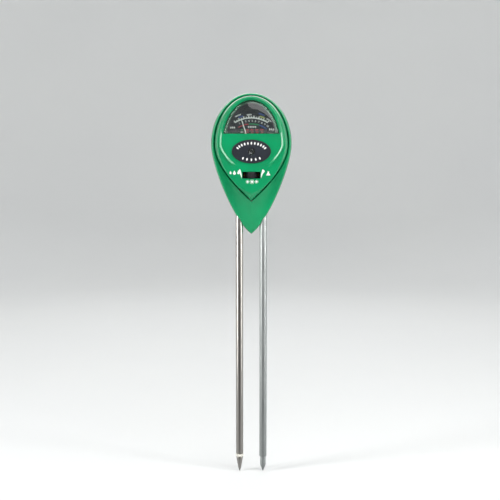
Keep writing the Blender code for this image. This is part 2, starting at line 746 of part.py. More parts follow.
def build_bearings(steel, brass):
    half_z = 2.0
    leg, thick = 11.4, 0.9
    foot = 14.6
    outline = [(-leg, -9.2), (leg, -9.2), (leg, YOKE_BACK - 1.1), (foot, YOKE_BACK - 1.1),
               (foot, YOKE_BACK - 0.1), (leg - thick, YOKE_BACK - 0.1), (leg - thick, -8.4),
               (-leg + thick, -8.4), (-leg + thick, YOKE_BACK - 0.1),
               (-foot, YOKE_BACK - 0.1), (-foot, YOKE_BACK - 1.1), (-leg, YOKE_BACK - 1.1)]
    bridge = prism("front_bridge", outline, PIVOT_Z - half_z, PIVOT_Z + half_z, steel)
    cut(bridge, post("front_jewel_hole", 1.75, 0.0, PIVOT_Z, -10.0, -8.0, home=cutters))
    for name, side in SIDES:
        x = side * 13.0
        cut(bridge, post(f"foot_hole_{name}", 1.0, x, PIVOT_Z, 0.0, 4.0, home=cutters,
                         segments=14))
        profile = [(0.0, 3.9), (0.65, 3.6), (0.65, 1.1), (1.3, 1.1), (1.3, 0.6), (1.0, 0.3),
                   (0.0, 0.3)]
        turned(f"bridge_screw_{name}", profile, steel, (x, 0.0, PIVOT_Z), steps=14)
        cut(bpy.data.objects["movement_frame"],
            post(f"bridge_screw_hole_{name}", 1.0, x, PIVOT_Z, 2.0, 5.0, home=cutters,
                 segments=14))
    front = [(0.0, -8.8), (0.8, -8.1), (1.4, -8.1), (1.4, -9.9), (0.0, -9.9)]
    turned("front_jewel_screw", front, brass, (0.0, 0.0, PIVOT_Z), steps=16)
    rear = [(0.0, 7.2), (1.4, 7.2), (1.4, 5.1), (0.85, 5.1), (0.0, 5.9)]
    turned("rear_jewel_screw", rear, brass, (0.0, 0.0, PIVOT_Z), steps=16)


# ---------------------------------------------------------------- probes and wiring

def build_probes(nickel, aluminium, insulator, holder, brass):
    bore = SPIGOT_R + 0.3
    rod_ends = {"left": TIP_LENGTH + COLLAR_HEIGHT + 0.6, "right": TIP_LENGTH + 0.3}
    metals = {"left": nickel, "right": aluminium}
    tips = {
        "left": [(2.45, TIP_LENGTH), (2.45, TIP_LENGTH - 1.2), (1.15, 3.0), (0.0, 0.0)],
        "right": [(2.15, TIP_LENGTH), (2.15, 5.4), (0.0, 0.0)],
    }
    for name, side in SIDES:
        at = (side * PROBE_X, 0.0, 0.0)
        low = rod_ends[name]
        top = TIP_LENGTH + SPIGOT_LENGTH
        rod = [(0.0, STUD_TOP), (STUD_R, STUD_TOP), (STUD_R, PROBE_SHOULDER),
               (PROBE_R, PROBE_SHOULDER), (PROBE_R, low), (bore, low), (bore, top + 0.4),
               (0.0, top + 0.4)]
        turned(f"probe_{name}", rod, metals[name], at, axis="Z", steps=24)
        tip = [(0.0, top), (SPIGOT_R, top), (SPIGOT_R, TIP_LENGTH)] + tips[name]
        turned(f"probe_tip_{name}", tip, metals[name], at, axis="Z", steps=24)
        nut = [(3.2, TAG_Z + 3.3), (3.2, TAG_Z + 0.9), (2.2, TAG_Z + 0.9), (2.2, TAG_Z + 3.3)]
        turned(f"probe_nut_{name}", nut, brass, at, axis="Z", steps=6, closed=True)
        build_tag(f"probe_tag_{name}", at[0], TAG_Z, brass)
    base = TIP_LENGTH + 0.3
    collar = [(COLLAR_R, base + COLLAR_HEIGHT), (COLLAR_R, base), (bore, base),
              (bore, base + COLLAR_HEIGHT)]
    turned("tip_collar_left", collar, insulator, (-PROBE_X, 0.0, 0.0), axis="Z", steps=24,
           closed=True)

    block = level_sheet("probe_holder", [stadium(11.7, 2.9, 8)], PROBE_SHOULDER + 0.3,
                        PROBE_SHOULDER + 4.5, holder)
    block = as_mesh(block)
    for name, side in SIDES:
        cut(block, bore_up(f"stud_hole_{name}", STUD_R + 0.35, side * PROBE_X,
                           PROBE_SHOULDER - 2.0, STUD_TOP))


def stadium(half_length, radius, steps):
    """(x, y) of a bar with round ends."""
    points = []
    for side in (1, -1):
        for step in range(steps + 1):
            angle = -math.pi / 2 + math.pi * step / steps
            points.append((side * (half_length - radius + radius * math.cos(angle)),
                           side * radius * math.sin(angle)))
    return points


def level_sheet(name, outlines, low, high, material):
    """A flat piece that lies level, between two heights; outlines are in (x, y)."""
    item = sheet(name, outlines, low, high, material)
    item.rotation_euler.x = 0.0
    item.location = (0.0, 0.0, (low + high) / 2 * MM)
    return item


def build_tag(name, x, z, material):
    """A ring terminal with its tail to the rear."""
    outer, hole, tail, end = 3.1, STUD_R + 0.35, 1.0, 7.0
    edge = []
    for step in range(19):
        angle = math.radians(90 - 20 - 320 * step / 18)
        edge.append((x + outer * math.cos(angle), outer * math.sin(angle)))
    edge += [(x - tail, end), (x + tail, end)]
    bore = ellipse(hole, hole, (x, 0.0), 16)
    level_sheet(name, [edge, bore], z, z + TAG_THICK, material)


def build_wiring(red, black, green, yellow, ceramic):
    tag_top = TAG_Z + TAG_THICK
    z = SWITCH_Z
    resistor = [(0.0, 6.6), (0.3, 6.6), (0.3, 4.3), (0.95, 4.0), (0.95, 0.6), (0.3, 0.3),
                (0.3, -2.0), (0.0, -2.0)]
    turned("moisture_resistor", resistor, ceramic, (-5.1, 0.0, z), steps=14)
    wire("resistor_wire", [(-5.1, 6.95, z), (-5.3, 8.4, z - 1.0), (-7.5, 9.2, z - 6.0),
                           (-9.2, 9.0, z - 12.0), (-9.0, 7.9, tag_top + 0.2)], 0.5, green)
    wire("probe_wire", [(-9.0, 5.9, tag_top + 0.85), (-9.3, 6.0, tag_top + 4.0),
                        (-7.0, 5.5, z - 6.0), (-2.2, 4.0, z - 3.0), (1.3, 1.8, z - 1.2),
                        (1.7, 0.2, z - 0.1), (1.7, -1.9, z)], 0.5, red)
    wire("cell_wire_plus", [(-1.5, -9.85, LABEL_Z - 1.6), (-1.8, -9.8, LABEL_Z - 4.5),
                            (-2.2, -9.2, LABEL_Z - 7.5), (-2.6, -6.6, LABEL_Z - 10.4),
                            (-2.4, -2.6, z + 5.2), (-1.9, 0.2, z + 2.2),
                            (-1.7, -0.3, z + 0.2), (-1.7, -1.9, z)], 0.4, yellow)
    wire("cell_wire_minus", [(1.9, -9.95, LABEL_Z - 1.6), (3.4, -9.95, LABEL_Z - 0.4),
                             (5.3, -9.95, LABEL_Z + 1.6), (7.5, -9.95, PIVOT_Z)], 0.35, black)
    wire("meter_wire", [(5.1, -1.9, z), (5.1, 0.5, z + 0.3), (6.0, 4.5, z + 2.5),
                        (6.8, 7.6, z + 8.0), (7.0, 8.2, z + 13.0), (7.0, 7.2, PIVOT_Z - 0.5)],
         0.5, red)
    wire("common_wire", [(11.95, -3.0, PIVOT_Z), (12.3, -3.2, PIVOT_Z - 2.6),
                         (10.6, -3.3, PIVOT_Z - 5.6), (10.2, -2.6, PIVOT_Z - 10.5),
                         (9.0, 1.5, PIVOT_Z - 16.0), (9.2, 5.6, PIVOT_Z - 24.0),
                         (9.0, 6.0, tag_top + 2.5), (9.0, 5.9, tag_top + 0.85)], 0.5, black)


# ---------------------------------------------------------------- assembly

def build():
    green = finish("green_abs", (0.008, 0.33, 0.145), 0.3)
    clear = finish("clear_polystyrene", (0.85, 0.9, 0.9), 0.05, alpha=0.35)
    black_print = finish("black_print", (0.02, 0.024, 0.03), 0.45)
    black_plastic = finish("black_plastic", (0.015, 0.015, 0.017), 0.4)
    white_plastic = finish("white_nylon", (0.75, 0.75, 0.72), 0.45)
    nickel = finish("nickel_plate", (0.66, 0.64, 0.6), 0.18, metallic=1.0)
    aluminium = finish("drawn_aluminium", (0.78, 0.8, 0.8), 0.4, metallic=1.0)
    steel = finish("zinc_plated_steel", (0.6, 0.6, 0.58), 0.35, metallic=1.0)
    iron = finish("soft_iron", (0.3, 0.3, 0.3), 0.5, metallic=1.0)
    magnet = finish("magnet_alloy", (0.35, 0.34, 0.33), 0.4, metallic=1.0)
    brass = finish("brass", (0.7, 0.5, 0.2), 0.3, metallic=1.0)
    copper = finish("enamelled_copper", (0.55, 0.2, 0.08), 0.35, metallic=1.0)
    bronze = finish("phosphor_bronze", (0.6, 0.38, 0.2), 0.3, metallic=1.0)
    white_paint = finish("white_pointer_paint", (0.85, 0.85, 0.82), 0.5)
    laminate = finish("phenolic_laminate", (0.25, 0.12, 0.04), 0.55)
    cell = finish("photocell_glass", (0.03, 0.02, 0.06), 0.15)
    resistor = finish("resistor_lacquer", (0.6, 0.45, 0.28), 0.5)
    wire_finishes = [finish(f"{name}_wire", colour, 0.5) for name, colour in (
        ("red", (0.5, 0.02, 0.02)), ("black", (0.02, 0.02, 0.02)),
        ("green", (0.03, 0.3, 0.05)), ("yellow", (0.6, 0.45, 0.03)))]

    build_rear_shell(green)
    build_front_shell(green)
    build_window(clear)
    for name, side in SIDES:
        case_screw(f"case_screw_{name}", side * CASE_POST[0], CASE_POST[1], steel)
    case_screw("case_screw_lower", 0.0, CASE_POST_LOWER_Z, steel)
    build_label(black_print)
    build_light_window(clear, cell)
    build_switch(steel, laminate, black_plastic, brass, steel)
    build_dial(black_print, steel)
    build_frame(white_plastic, steel)
    build_magnet(magnet, iron, aluminium)
    build_coil(white_paint, aluminium, copper, steel, brass)
    hairspring("front_hairspring", -6.5, bronze)
    hairspring("rear_hairspring", 4.7, bronze)
    build_bearings(steel, brass)
    build_probes(nickel, aluminium, white_plastic, white_plastic, brass)
    build_wiring(*wire_finishes, resistor)


clear_scene()
parts = new_collection("soil_meter")
cutters = new_collection("cutters")
build()
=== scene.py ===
"""A three-way soil meter: finished surfaces, printed marks, metals and studio.

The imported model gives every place. Each sub-assembly is a class that keeps its own sizes in
millimetres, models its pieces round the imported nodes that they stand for, and dresses them.
+Z is up, the face looks along -Y, and the origin is midway between the two probe points.
"""

import json
import logging
import math
from dataclasses import astuple, dataclass, field, replace
from enum import Enum
from typing import Callable, Iterable, Sequence

import bmesh
import bpy
from mathutils import Matrix, Vector

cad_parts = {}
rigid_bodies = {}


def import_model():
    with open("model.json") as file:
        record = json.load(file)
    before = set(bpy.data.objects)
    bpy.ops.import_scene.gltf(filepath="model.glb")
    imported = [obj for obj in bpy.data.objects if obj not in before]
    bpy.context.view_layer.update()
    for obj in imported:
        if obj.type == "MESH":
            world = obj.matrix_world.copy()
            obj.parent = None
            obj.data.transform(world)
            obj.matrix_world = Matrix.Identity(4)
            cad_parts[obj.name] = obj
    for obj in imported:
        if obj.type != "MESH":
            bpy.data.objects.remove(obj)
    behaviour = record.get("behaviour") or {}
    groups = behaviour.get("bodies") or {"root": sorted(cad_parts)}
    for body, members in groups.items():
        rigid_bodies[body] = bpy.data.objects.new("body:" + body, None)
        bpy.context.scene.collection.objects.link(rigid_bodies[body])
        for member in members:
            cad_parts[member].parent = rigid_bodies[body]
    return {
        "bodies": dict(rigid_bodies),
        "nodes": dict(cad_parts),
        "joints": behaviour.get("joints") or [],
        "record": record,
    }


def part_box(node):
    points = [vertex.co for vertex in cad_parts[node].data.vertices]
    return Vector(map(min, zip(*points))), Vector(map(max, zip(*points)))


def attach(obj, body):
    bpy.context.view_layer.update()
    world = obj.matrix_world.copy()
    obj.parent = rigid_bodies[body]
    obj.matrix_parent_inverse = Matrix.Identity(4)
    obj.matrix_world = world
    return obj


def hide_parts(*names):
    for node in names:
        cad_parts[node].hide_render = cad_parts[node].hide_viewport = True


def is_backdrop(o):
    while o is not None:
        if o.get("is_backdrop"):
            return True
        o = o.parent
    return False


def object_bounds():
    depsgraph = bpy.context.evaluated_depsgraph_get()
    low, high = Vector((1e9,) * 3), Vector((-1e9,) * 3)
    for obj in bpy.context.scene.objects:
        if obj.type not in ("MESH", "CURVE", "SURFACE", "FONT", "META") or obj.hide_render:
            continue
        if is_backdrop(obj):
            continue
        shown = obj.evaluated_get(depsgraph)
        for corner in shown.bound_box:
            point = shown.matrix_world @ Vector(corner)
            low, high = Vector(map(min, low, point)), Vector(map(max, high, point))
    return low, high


log = logging.getLogger("soil_meter")

MM = 0.001
KEY_STEPS = 1e8  # hundredths of a micron in a metre
MERGE_MM = 0.0005
NOISE_LOW, NOISE_HIGH = 0.3, 0.7  # nearly all of a noise lies between these
SMOOTHER, ROUGHER = 0.85, 1.2  # how far a finish's roughness wanders
DRIFT_DETAIL, GRAIN_DETAIL = 3.0, 2.0
RELIEF_STRENGTH = 0.6
NORMAL_WEIGHT = 80  # how strongly large faces lead the shading
Flat = tuple[float, float]
Point = tuple[float, float, float]


class Side(Enum):
    """The two sides of the meter, as seen from the front."""

    LEFT = -1
    RIGHT = 1


class Carve(Enum):
    """What carving does with its tools."""

    CUT = "DIFFERENCE"
    JOIN = "UNION"


class Axis(Enum):
    """The line that a turned piece is spun about."""

    Y = (0, 1, 0)
    Z = (0, 0, 1)

    def place(self, at: Flat, radius: float, level: float) -> Vector:
        """Give the point to the right of an axis, in metres.

        Args:
            at: where the axis stands: (x, z) for Y, (x, y) for Z.
            radius: how far to its right, in mm.
            level: how far along it, in mm.

        Returns:
            The point.
        """
        x = at[0] + radius
        return Vector((x, at[1], level) if self is Axis.Z else (x, level, at[1])) * MM


# ---------------------------------------------------------------- nodes and finishes


def linear(hex_colour: str) -> tuple[float, float, float, float]:
    """Turn an sRGB hex colour to linear RGBA.

    Args:
        hex_colour: six hex digits, with or without a leading #.

    Returns:
        Red, green, blue and an alpha of 1, linear.
    """
    digits = hex_colour.lstrip("#")
    channels = [int(digits[start:start + 2], 16) / 255 for start in (0, 2, 4)]
    bent = [c / 12.92 if c <= 0.04045 else ((c + 0.055) / 1.055) ** 2.4 for c in channels]
    return (*bent, 1.0)


def add_node(
    tree: bpy.types.NodeTree,
    kind: str,
    inputs: dict | None = None,
    links: dict | None = None,
    **settings: object,
) -> bpy.types.Node:
    """Add one node with its settings, input values and incoming links.

    Args:
        tree: the node tree it goes into.
        kind: the node type's name, without its ShaderNode prefix.
        inputs: values for its input sockets.
        links: output sockets to join to its input sockets.
        settings: properties of the node itself.

    Returns:
        The new node.
    """
    node = tree.nodes.new(f"ShaderNode{kind}")
    for key, value in settings.items():
        setattr(node, key, value)
    for key, value in (inputs or {}).items():
        node.inputs[key].default_value = value
    for key, socket in (links or {}).items():
        tree.links.new(socket, node.inputs[key])
    return node


def per_mm(size: float) -> float:
    """Give the texture scale whose features are size millimetres across."""
    return 1.0 / (size * MM)


@dataclass(frozen=True)
class Finish:
    """What every finish has: a name, a colour and a second colour that it drifts to.

    drift_mm is the width of the drift's patches, grain_mm and grain_depth_mm the fine relief,
    and the second colour comes in between tone_from and tone_to.
    """

    name: str
    colour: str
    second: str
    roughness: float
    drift_mm: float = 14.0
    grain_mm: float = 0.5
    grain_depth_mm: float = 0.004
    stretch: Point = (1.0, 1.0, 1.0)
    tone_from: float = 0.3
    tone_to: float = 0.75

    def values(self) -> dict:
        """Give the shader's own settings for this kind of finish."""
        return {"Metallic": 0.0, "IOR": 1.5}

    def make(self) -> bpy.types.Material:
        """Build the material.

        Returns:
            A material whose colour, roughness and relief come from Object coordinates.
        """
        material = bpy.data.materials.new(self.name)
        material.use_nodes = True
        tree = material.node_tree
        tree.nodes.clear()
        place = add_node(tree, "TexCoord").outputs["Object"]
        grain_place = add_node(
            tree, "Mapping", {"Scale": self.stretch}, {"Vector": place}
        ).outputs["Vector"]
        drift = add_node(
            tree, "TexNoise", {"Scale": per_mm(self.drift_mm), "Detail": DRIFT_DETAIL},
            {"Vector": place},
        ).outputs["Fac"]
        grain = add_node(
            tree, "TexNoise", {"Scale": per_mm(self.grain_mm), "Detail": GRAIN_DETAIL},
            {"Vector": grain_place},
        ).outputs["Fac"]
        tones = add_node(tree, "ValToRGB", links={"Fac": self.tone_socket(tree, drift, place)})
        first, last = tones.color_ramp.elements
        first.position, first.color = self.tone_from, linear(self.colour)
        last.position, last.color = self.tone_to, linear(self.second)
        rough = add_node(
            tree, "MapRange",
            {"From Min": NOISE_LOW, "From Max": NOISE_HIGH, "To Min": self.roughness * SMOOTHER,
             "To Max": min(self.roughness * ROUGHER, 1.0)},
            {"Value": drift},
        )
        relief = add_node(
            tree, "Bump", {"Strength": RELIEF_STRENGTH, "Distance": self.grain_depth_mm * MM},
            {"Height": self.relief_socket(tree, grain, place)},
        )
        shader = add_node(
            tree, "BsdfPrincipled", self.values(),
            {"Base Color": tones.outputs["Color"], "Roughness": rough.outputs["Result"],
             "Normal": relief.outputs["Normal"]},
        )
        add_node(tree, "OutputMaterial", links={"Surface": self.surface(tree, shader)})
        return material

    def tone_socket(
        self, tree: bpy.types.NodeTree, drift: bpy.types.NodeSocket, place: bpy.types.NodeSocket
    ) -> bpy.types.NodeSocket:
        """Give what brings the second colour in."""
        return drift

    def relief_socket(
        self, tree: bpy.types.NodeTree, grain: bpy.types.NodeSocket, place: bpy.types.NodeSocket
    ) -> bpy.types.NodeSocket:
        """Give the height that the relief follows."""
        return grain

    def surface(
        self, tree: bpy.types.NodeTree, shader: bpy.types.Node
    ) -> bpy.types.NodeSocket:
        """Give the socket that the surface shows."""
        return shader.outputs["BSDF"]


@dataclass(frozen=True)
class Moulded(Finish):
    """An injection-moulded plastic, glossy under a thin even skin."""

    gloss: float = 0.5

    def values(self) -> dict:
        """Give a plastic's settings, with the moulded skin as a coat."""
        return {"Metallic": 0.0, "IOR": 1.54, "Coat Weight": self.gloss, "Coat Roughness": 0.06}


@dataclass(frozen=True)
class Printed(Finish):
    """Screen-printed ink or lacquer, matt and a little uneven."""

    def values(self) -> dict:
        """Give an ink's settings."""
        return {"Metallic": 0.0, "IOR": 1.45}


@dataclass(frozen=True)
class Metal(Finish):
    """A metal, bright or drawn; the stretch makes its drawing lines."""

    def values(self) -> dict:
        """Give a metal's settings."""
        return {"Metallic": 1.0}


@dataclass(frozen=True)
class Wound(Metal):
    """Enamelled wire wound side by side, one ridge for each turn along Z."""

    wire_mm: float = 0.3

    def relief_socket(
        self, tree: bpy.types.NodeTree, grain: bpy.types.NodeSocket, place: bpy.types.NodeSocket
    ) -> bpy.types.NodeSocket:
        """Give one ridge for each turn of wire.

        Args:
            tree: the material's nodes.
            grain: the fine noise, which a wound wire doesn't show.
            place: Object coordinates.

        Returns:
            The height's socket.
        """
        turns = add_node(
            tree, "TexWave", {"Scale": per_mm(self.wire_mm) / math.tau, "Distortion": 0.3},
            {"Vector": place}, wave_type="BANDS", bands_direction="Z", wave_profile="SIN",
        )
        return turns.outputs["Fac"]


@dataclass(frozen=True)
class Glazing(Finish):
    """A clear moulding that lets lamps through to what lies behind it."""

    def values(self) -> dict:
        """Give clear polystyrene's settings."""
        return {"Metallic": 0.0, "IOR": 1.59, "Transmission Weight": 1.0}

    def surface(
        self, tree: bpy.types.NodeTree, shader: bpy.types.Node
    ) -> bpy.types.NodeSocket:
        """Show the clear shader to the eye and nothing to the lamps' shadows.

        Args:
            tree: the material's nodes.
            shader: the clear shader.

        Returns:
            The surface's socket.
        """
        path = add_node(tree, "LightPath")
        open_air = add_node(tree, "BsdfTransparent")
        mix = add_node(tree, "MixShader", links={"Fac": path.outputs["Is Shadow Ray"]})
        tree.links.new(shader.outputs["BSDF"], mix.inputs[1])
        tree.links.new(open_air.outputs["BSDF"], mix.inputs[2])
        return mix.outputs["Shader"]


@dataclass(frozen=True)
class CellFace(Finish):
    """A light cell: dark glass over fingers only a little paler, in narrow lines."""

    tone_from: float = 0.8
    tone_to: float = 0.88
    finger_mm: float = 0.7

    def tone_socket(
        self, tree: bpy.types.NodeTree, drift: bpy.types.NodeSocket, place: bpy.types.NodeSocket
    ) -> bpy.types.NodeSocket:
        """Lay the fingers across the cell.

        Args:
            tree: the material's nodes.
            drift: the slow noise, which the fingers don't follow.
            place: Object coordinates.

        Returns:
            The socket that brings the fingers' colour in.
        """
        fingers = add_node(
            tree, "TexWave", {"Scale": per_mm(self.finger_mm) / math.tau}, {"Vector": place},
            wave_type="BANDS", bands_direction="Z", wave_profile="SIN",
        )
        return fingers.outputs["Fac"]


# Injection-moulded ABS: saturated green, glossy, with slow drifts of tone.
GREEN_ABS = Moulded("moulded_green_abs", "#04985F", "#048B57", 0.22, grain_mm=0.9, gloss=0.9)
# Injection-moulded clear polystyrene: colourless, hard bright reflections.
CLEAR_PS = Glazing("clear_polystyrene", "#F4FAF8", "#EEF6F4", 0.03, grain_depth_mm=0.0005)
# Screen-printed vinyl foil: soft black with a satin film.
BLACK_FOIL = Printed("black_printed_vinyl", "#2B2F37", "#23262D", 0.38, grain_mm=0.4)
# Black dial lacquer on sheet aluminium: matt, slightly blue.
DIAL_LACQUER = Printed("black_dial_lacquer", "#1C1F26", "#181A20", 0.5, grain_mm=0.35)
# Screen inks: opaque and matt. The white one also paints the two highlights beside the switch's
# slot.
WHITE_INK_AND_HIGHLIGHT = Printed("white_screen_ink_and_painted_highlight", "#F2F3EF", "#E6E8E4", 0.5, drift_mm=3.0, grain_mm=0.2)
RED_INK = Printed("red_screen_ink", "#D2404A", "#B93440", 0.5, drift_mm=3.0, grain_mm=0.2)
GREEN_INK = Printed("green_screen_ink", "#2FB36B", "#269A5B", 0.5, drift_mm=3.0, grain_mm=0.2)
BLUE_INK = Printed("blue_screen_ink", "#3E62B4", "#33539C", 0.5, drift_mm=3.0, grain_mm=0.2)
YELLOW_INK = Printed("yellow_screen_ink", "#C9D07A", "#B8BE68", 0.5, drift_mm=3.0, grain_mm=0.2)
# White enamel on a thin aluminium pointer: even and half gloss.
WHITE_ENAMEL = Printed("white_pointer_enamel", "#F6F4EE", "#ECEAE4", 0.35, drift_mm=6.0)
# Injection-moulded black ABS: near black with a soft gloss.
BLACK_ABS = Moulded("moulded_black_abs", "#17181B", "#202226", 0.38, grain_mm=0.4, gloss=0.3)
# Natural nylon: milky white, waxy.
NATURAL_NYLON = Moulded("natural_nylon", "#E8E6DC", "#DAD8CC", 0.42, gloss=0.1)
# Bright nickel plate on drawn brass rod: warm white mirror with faint drawing lines.
BRIGHT_NICKEL = Metal("bright_nickel_plate", "#E4E0D8", "#D6D2CA", 0.3, drift_mm=20.0,
                      grain_mm=0.25, grain_depth_mm=0.002, stretch=(1.0, 1.0, 0.02))
# Drawn aluminium rod: pale and matt, with drawing lines along its length.
DRAWN_ALUMINIUM = Metal("drawn_aluminium", "#D3D8D6", "#C8CDCB", 0.5, drift_mm=12.0,
                        grain_mm=0.22, grain_depth_mm=0.006, stretch=(1.0, 1.0, 0.03))
# Zinc-plated steel: blue-grey, slightly cloudy.
ZINC_STEEL = Metal("zinc_plated_steel", "#C3C8CC", "#A9AFB6", 0.32, drift_mm=2.0, grain_mm=0.3)
# Steel of the switch's can, coloured blue-black and dull: painted shade, so the slot behind the
# knob shows dark.
SLOT_SHADE_STEEL = Metal("dark_can_steel_slot_shade", "#26282B", "#1E2023", 0.5, drift_mm=2.0, grain_mm=0.3)
# Soft iron: dark grey, dull.
SOFT_IRON = Metal("soft_iron", "#7B7C7E", "#66676A", 0.5, drift_mm=3.0, grain_mm=0.3)
# Cast magnet alloy: grey with a granular skin.
MAGNET_ALLOY = Metal("cast_magnet_alloy", "#8C8A86", "#74726E", 0.45, drift_mm=1.2,
                     grain_mm=0.25, grain_depth_mm=0.02)
# Turned brass: yellow, bright.
TURNED_BRASS = Metal("turned_brass", "#D9B25E", "#C79C48", 0.28, drift_mm=4.0, grain_mm=0.2)
# Phosphor bronze strip: redder than brass, springy bright.
SPRING_BRONZE = Metal("phosphor_bronze", "#C48A55", "#B37A48", 0.3, drift_mm=2.0)
# Enamelled copper winding wire: red-brown and glossy, a ridge for each turn.
COPPER_WINDING = Wound("enamelled_copper_wire", "#A4532B", "#8C4322", 0.3, drift_mm=1.5,
                       grain_depth_mm=0.08)
# Thin sheet aluminium of the coil's former.
SHEET_ALUMINIUM = Metal("sheet_aluminium", "#D5D8DA", "#C3C7CA", 0.35, drift_mm=4.0)
# Black phenolic paper laminate: near black with brown fibre flecks.
PHENOLIC = Printed("phenolic_laminate", "#1F1A18", "#30241D", 0.5, drift_mm=1.0, grain_mm=0.2)
# Selenium cell: glossy near-black with faint collecting fingers.
LIGHT_CELL = CellFace("selenium_light_cell", "#15141C", "#2E2A26", 0.2, drift_mm=1.0)
# Resistor lacquer: buff and glossy.
BUFF_LACQUER = Moulded("buff_resistor_lacquer", "#C9AE86", "#BC9F76", 0.35, gloss=0.4)
# PVC hook-up wire insulation in four colours: satin.
RED_PVC = Moulded("red_pvc_insulation", "#B3242B", "#A01D25", 0.45, gloss=0.2)
BLACK_PVC = Moulded("black_pvc_insulation", "#1B1B1D", "#232326", 0.45, gloss=0.2)
GREEN_PVC = Moulded("green_pvc_insulation", "#2C8C3E", "#257A35", 0.45, gloss=0.2)
YELLOW_PVC = Moulded("yellow_pvc_insulation", "#D8B936", "#CBAA2A", 0.45, gloss=0.2)


class FinishShelf:
    """Makes each material once and hands it out."""

    def __init__(self) -> None:
        """Start with nothing made."""
        self.made: dict[str, bpy.types.Material] = {}

    def take(self, finish: Finish) -> bpy.types.Material:
        """Give the material of a finish, made at first use.

        Args:
            finish: the finish.

        Returns:
            Its material.
        """
        if finish.name not in self.made:
            self.made[finish.name] = finish.make()
        return self.made[finish.name]

    def dress(self, piece: bpy.types.Object, finish: Finish) -> None:
        """Give a piece one finish all over."""
        piece.data.materials.clear()
        piece.data.materials.append(self.take(finish))

    def install(
        self, piece: bpy.types.Object, node: str, finish: Finish, slot: str, body: str = "case"
    ) -> None:
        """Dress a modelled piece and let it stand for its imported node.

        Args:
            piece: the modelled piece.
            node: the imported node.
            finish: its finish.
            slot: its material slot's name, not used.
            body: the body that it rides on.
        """
        self.dress(piece, finish)
        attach(piece, body)
        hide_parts(node)
        log.info("%s: %d faces", piece.name, len(piece.data.polygons))


# ---------------------------------------------------------------- modelling helpers


def select_only(piece: bpy.types.Object) -> None:
    """Select one object and make it active.

    Args:
        piece: the object.
    """
    bpy.ops.object.select_all(action="DESELECT")
    piece.select_set(True)
    bpy.context.view_layer.objects.active = piece


def name_piece(name: str) -> bpy.types.Object:
    """Name the active object and its mesh, and put its place into its mesh.

    Args:
        name: the piece's name.

    Returns:
        The named object, at the origin.
    """
    piece = bpy.context.view_layer.objects.active
    select_only(piece)
    bpy.ops.object.transform_apply(location=True, rotation=True, scale=True)
    piece.name = name
    piece.data.name = name
    return piece


def apply_modifier(piece: bpy.types.Object, kind: str, **settings: object) -> None:
    """Put one modifier on a piece and apply it.

    Args:
        piece: the piece.
        kind: the modifier's type.
        settings: the modifier's own settings.
    """
    select_only(piece)
    modifier = piece.modifiers.new(kind.title(), kind)
    for key, value in settings.items():
        setattr(modifier, key, value)
    bpy.ops.object.modifier_apply(modifier=modifier.name)


def shade(piece: bpy.types.Object, angle: float = 32.0, weighted: bool = False) -> None:
    """Shade a piece smooth up to an angle, with flats kept flat if weighted.

    Args:
        piece: the piece.
        angle: the sharpest bend in degrees that is still smooth.
        weighted: lean the normals towards the large faces.
    """
    select_only(piece)
    bpy.ops.object.shade_smooth_by_angle(angle=math.radians(angle))
    if weighted:
        apply_modifier(piece, "WEIGHTED_NORMAL", keep_sharp=True, weight=NORMAL_WEIGHT)


def carve(piece: bpy.types.Object, tools: Iterable[bpy.types.Object], way: Carve) -> None:
    """Cut tools out of a piece, or join them to it, and remove the tools.

    Args:
        piece: the piece.
        tools: closed solids.
        way: cut them out or join them on.
    """
    for tool in tools:
        apply_modifier(piece, "BOOLEAN", operation=way.value, solver="EXACT", object=tool)
        bpy.data.objects.remove(tool)


def rod(
    name: str, radius: float, at: Flat, near: float, far: float, sides: int = 32
) -> bpy.types.Object:
    """A cylinder along Y.

    Args:
        name: its name.
        radius: in mm.
        at: its (x, z).
        near: its front end's y.
        far: its back end's y.
        sides: faces round it.

    Returns:
        The object.
    """
    bpy.ops.object.select_all(action="DESELECT")
    bpy.ops.mesh.primitive_cylinder_add(
        vertices=sides, radius=radius * MM, depth=(far - near) * MM,
        location=(at[0] * MM, (near + far) / 2 * MM, at[1] * MM), rotation=(math.pi / 2, 0, 0),
    )
    return name_piece(name)


def block(name: str, low: Point, high: Point) -> bpy.types.Object:
    """A box.

    Args:
        name: its name.
        low: its lowest corner in mm.
        high: its highest corner in mm.

    Returns:
        The object.
    """
    bpy.ops.object.select_all(action="DESELECT")
    centre = [(a + b) / 2 * MM for a, b in zip(low, high)]
    bpy.ops.mesh.primitive_cube_add(size=1.0, location=centre)
    bpy.context.object.scale = [(b - a) * MM for a, b in zip(low, high)]
    return name_piece(name)


def select_edges(
    piece: bpy.types.Object, chosen: Callable[[bmesh.types.BMEdge], bool]
) -> None:
    """Enter edit mode with only the chosen edges selected.

    Args:
        piece: the piece, which is the active object.
        chosen: tells whether an edge is selected.
    """
    bpy.ops.object.mode_set(mode="EDIT")
    bpy.ops.mesh.select_mode(type="EDGE")
    bpy.ops.mesh.select_all(action="DESELECT")
    mesh = bmesh.from_edit_mesh(piece.data)
    for edge in mesh.edges:
        edge.select_set(chosen(edge))
    bmesh.update_edit_mesh(piece.data)


def round_edges(
    piece: bpy.types.Object,
    width: float,
    chosen: Callable[[Vector], bool],
    sharper: float = 40.0,
    segments: int = 3,
) -> None:
    """Bevel the sharp edges whose middles are chosen.

    Args:
        piece: the piece.
        width: the bevel's width in mm.
        chosen: tells from an edge's middle, in mm, whether it is rounded.
        sharper: only edges that bend more than this many degrees.
        segments: steps round the bevel.
    """
    def picked(edge: bmesh.types.BMEdge) -> bool:
        """Tell whether an edge is sharp enough and in its place."""
        bend = math.degrees(edge.calc_face_angle(0.0))
        return bend > sharper and chosen((edge.verts[0].co + edge.verts[1].co) / 2 / MM)

    select_only(piece)
    select_edges(piece, picked)
    bpy.ops.mesh.bevel(offset=width * MM, segments=segments, profile=0.5, clamp_overlap=True)
    bpy.ops.object.mode_set(mode="OBJECT")


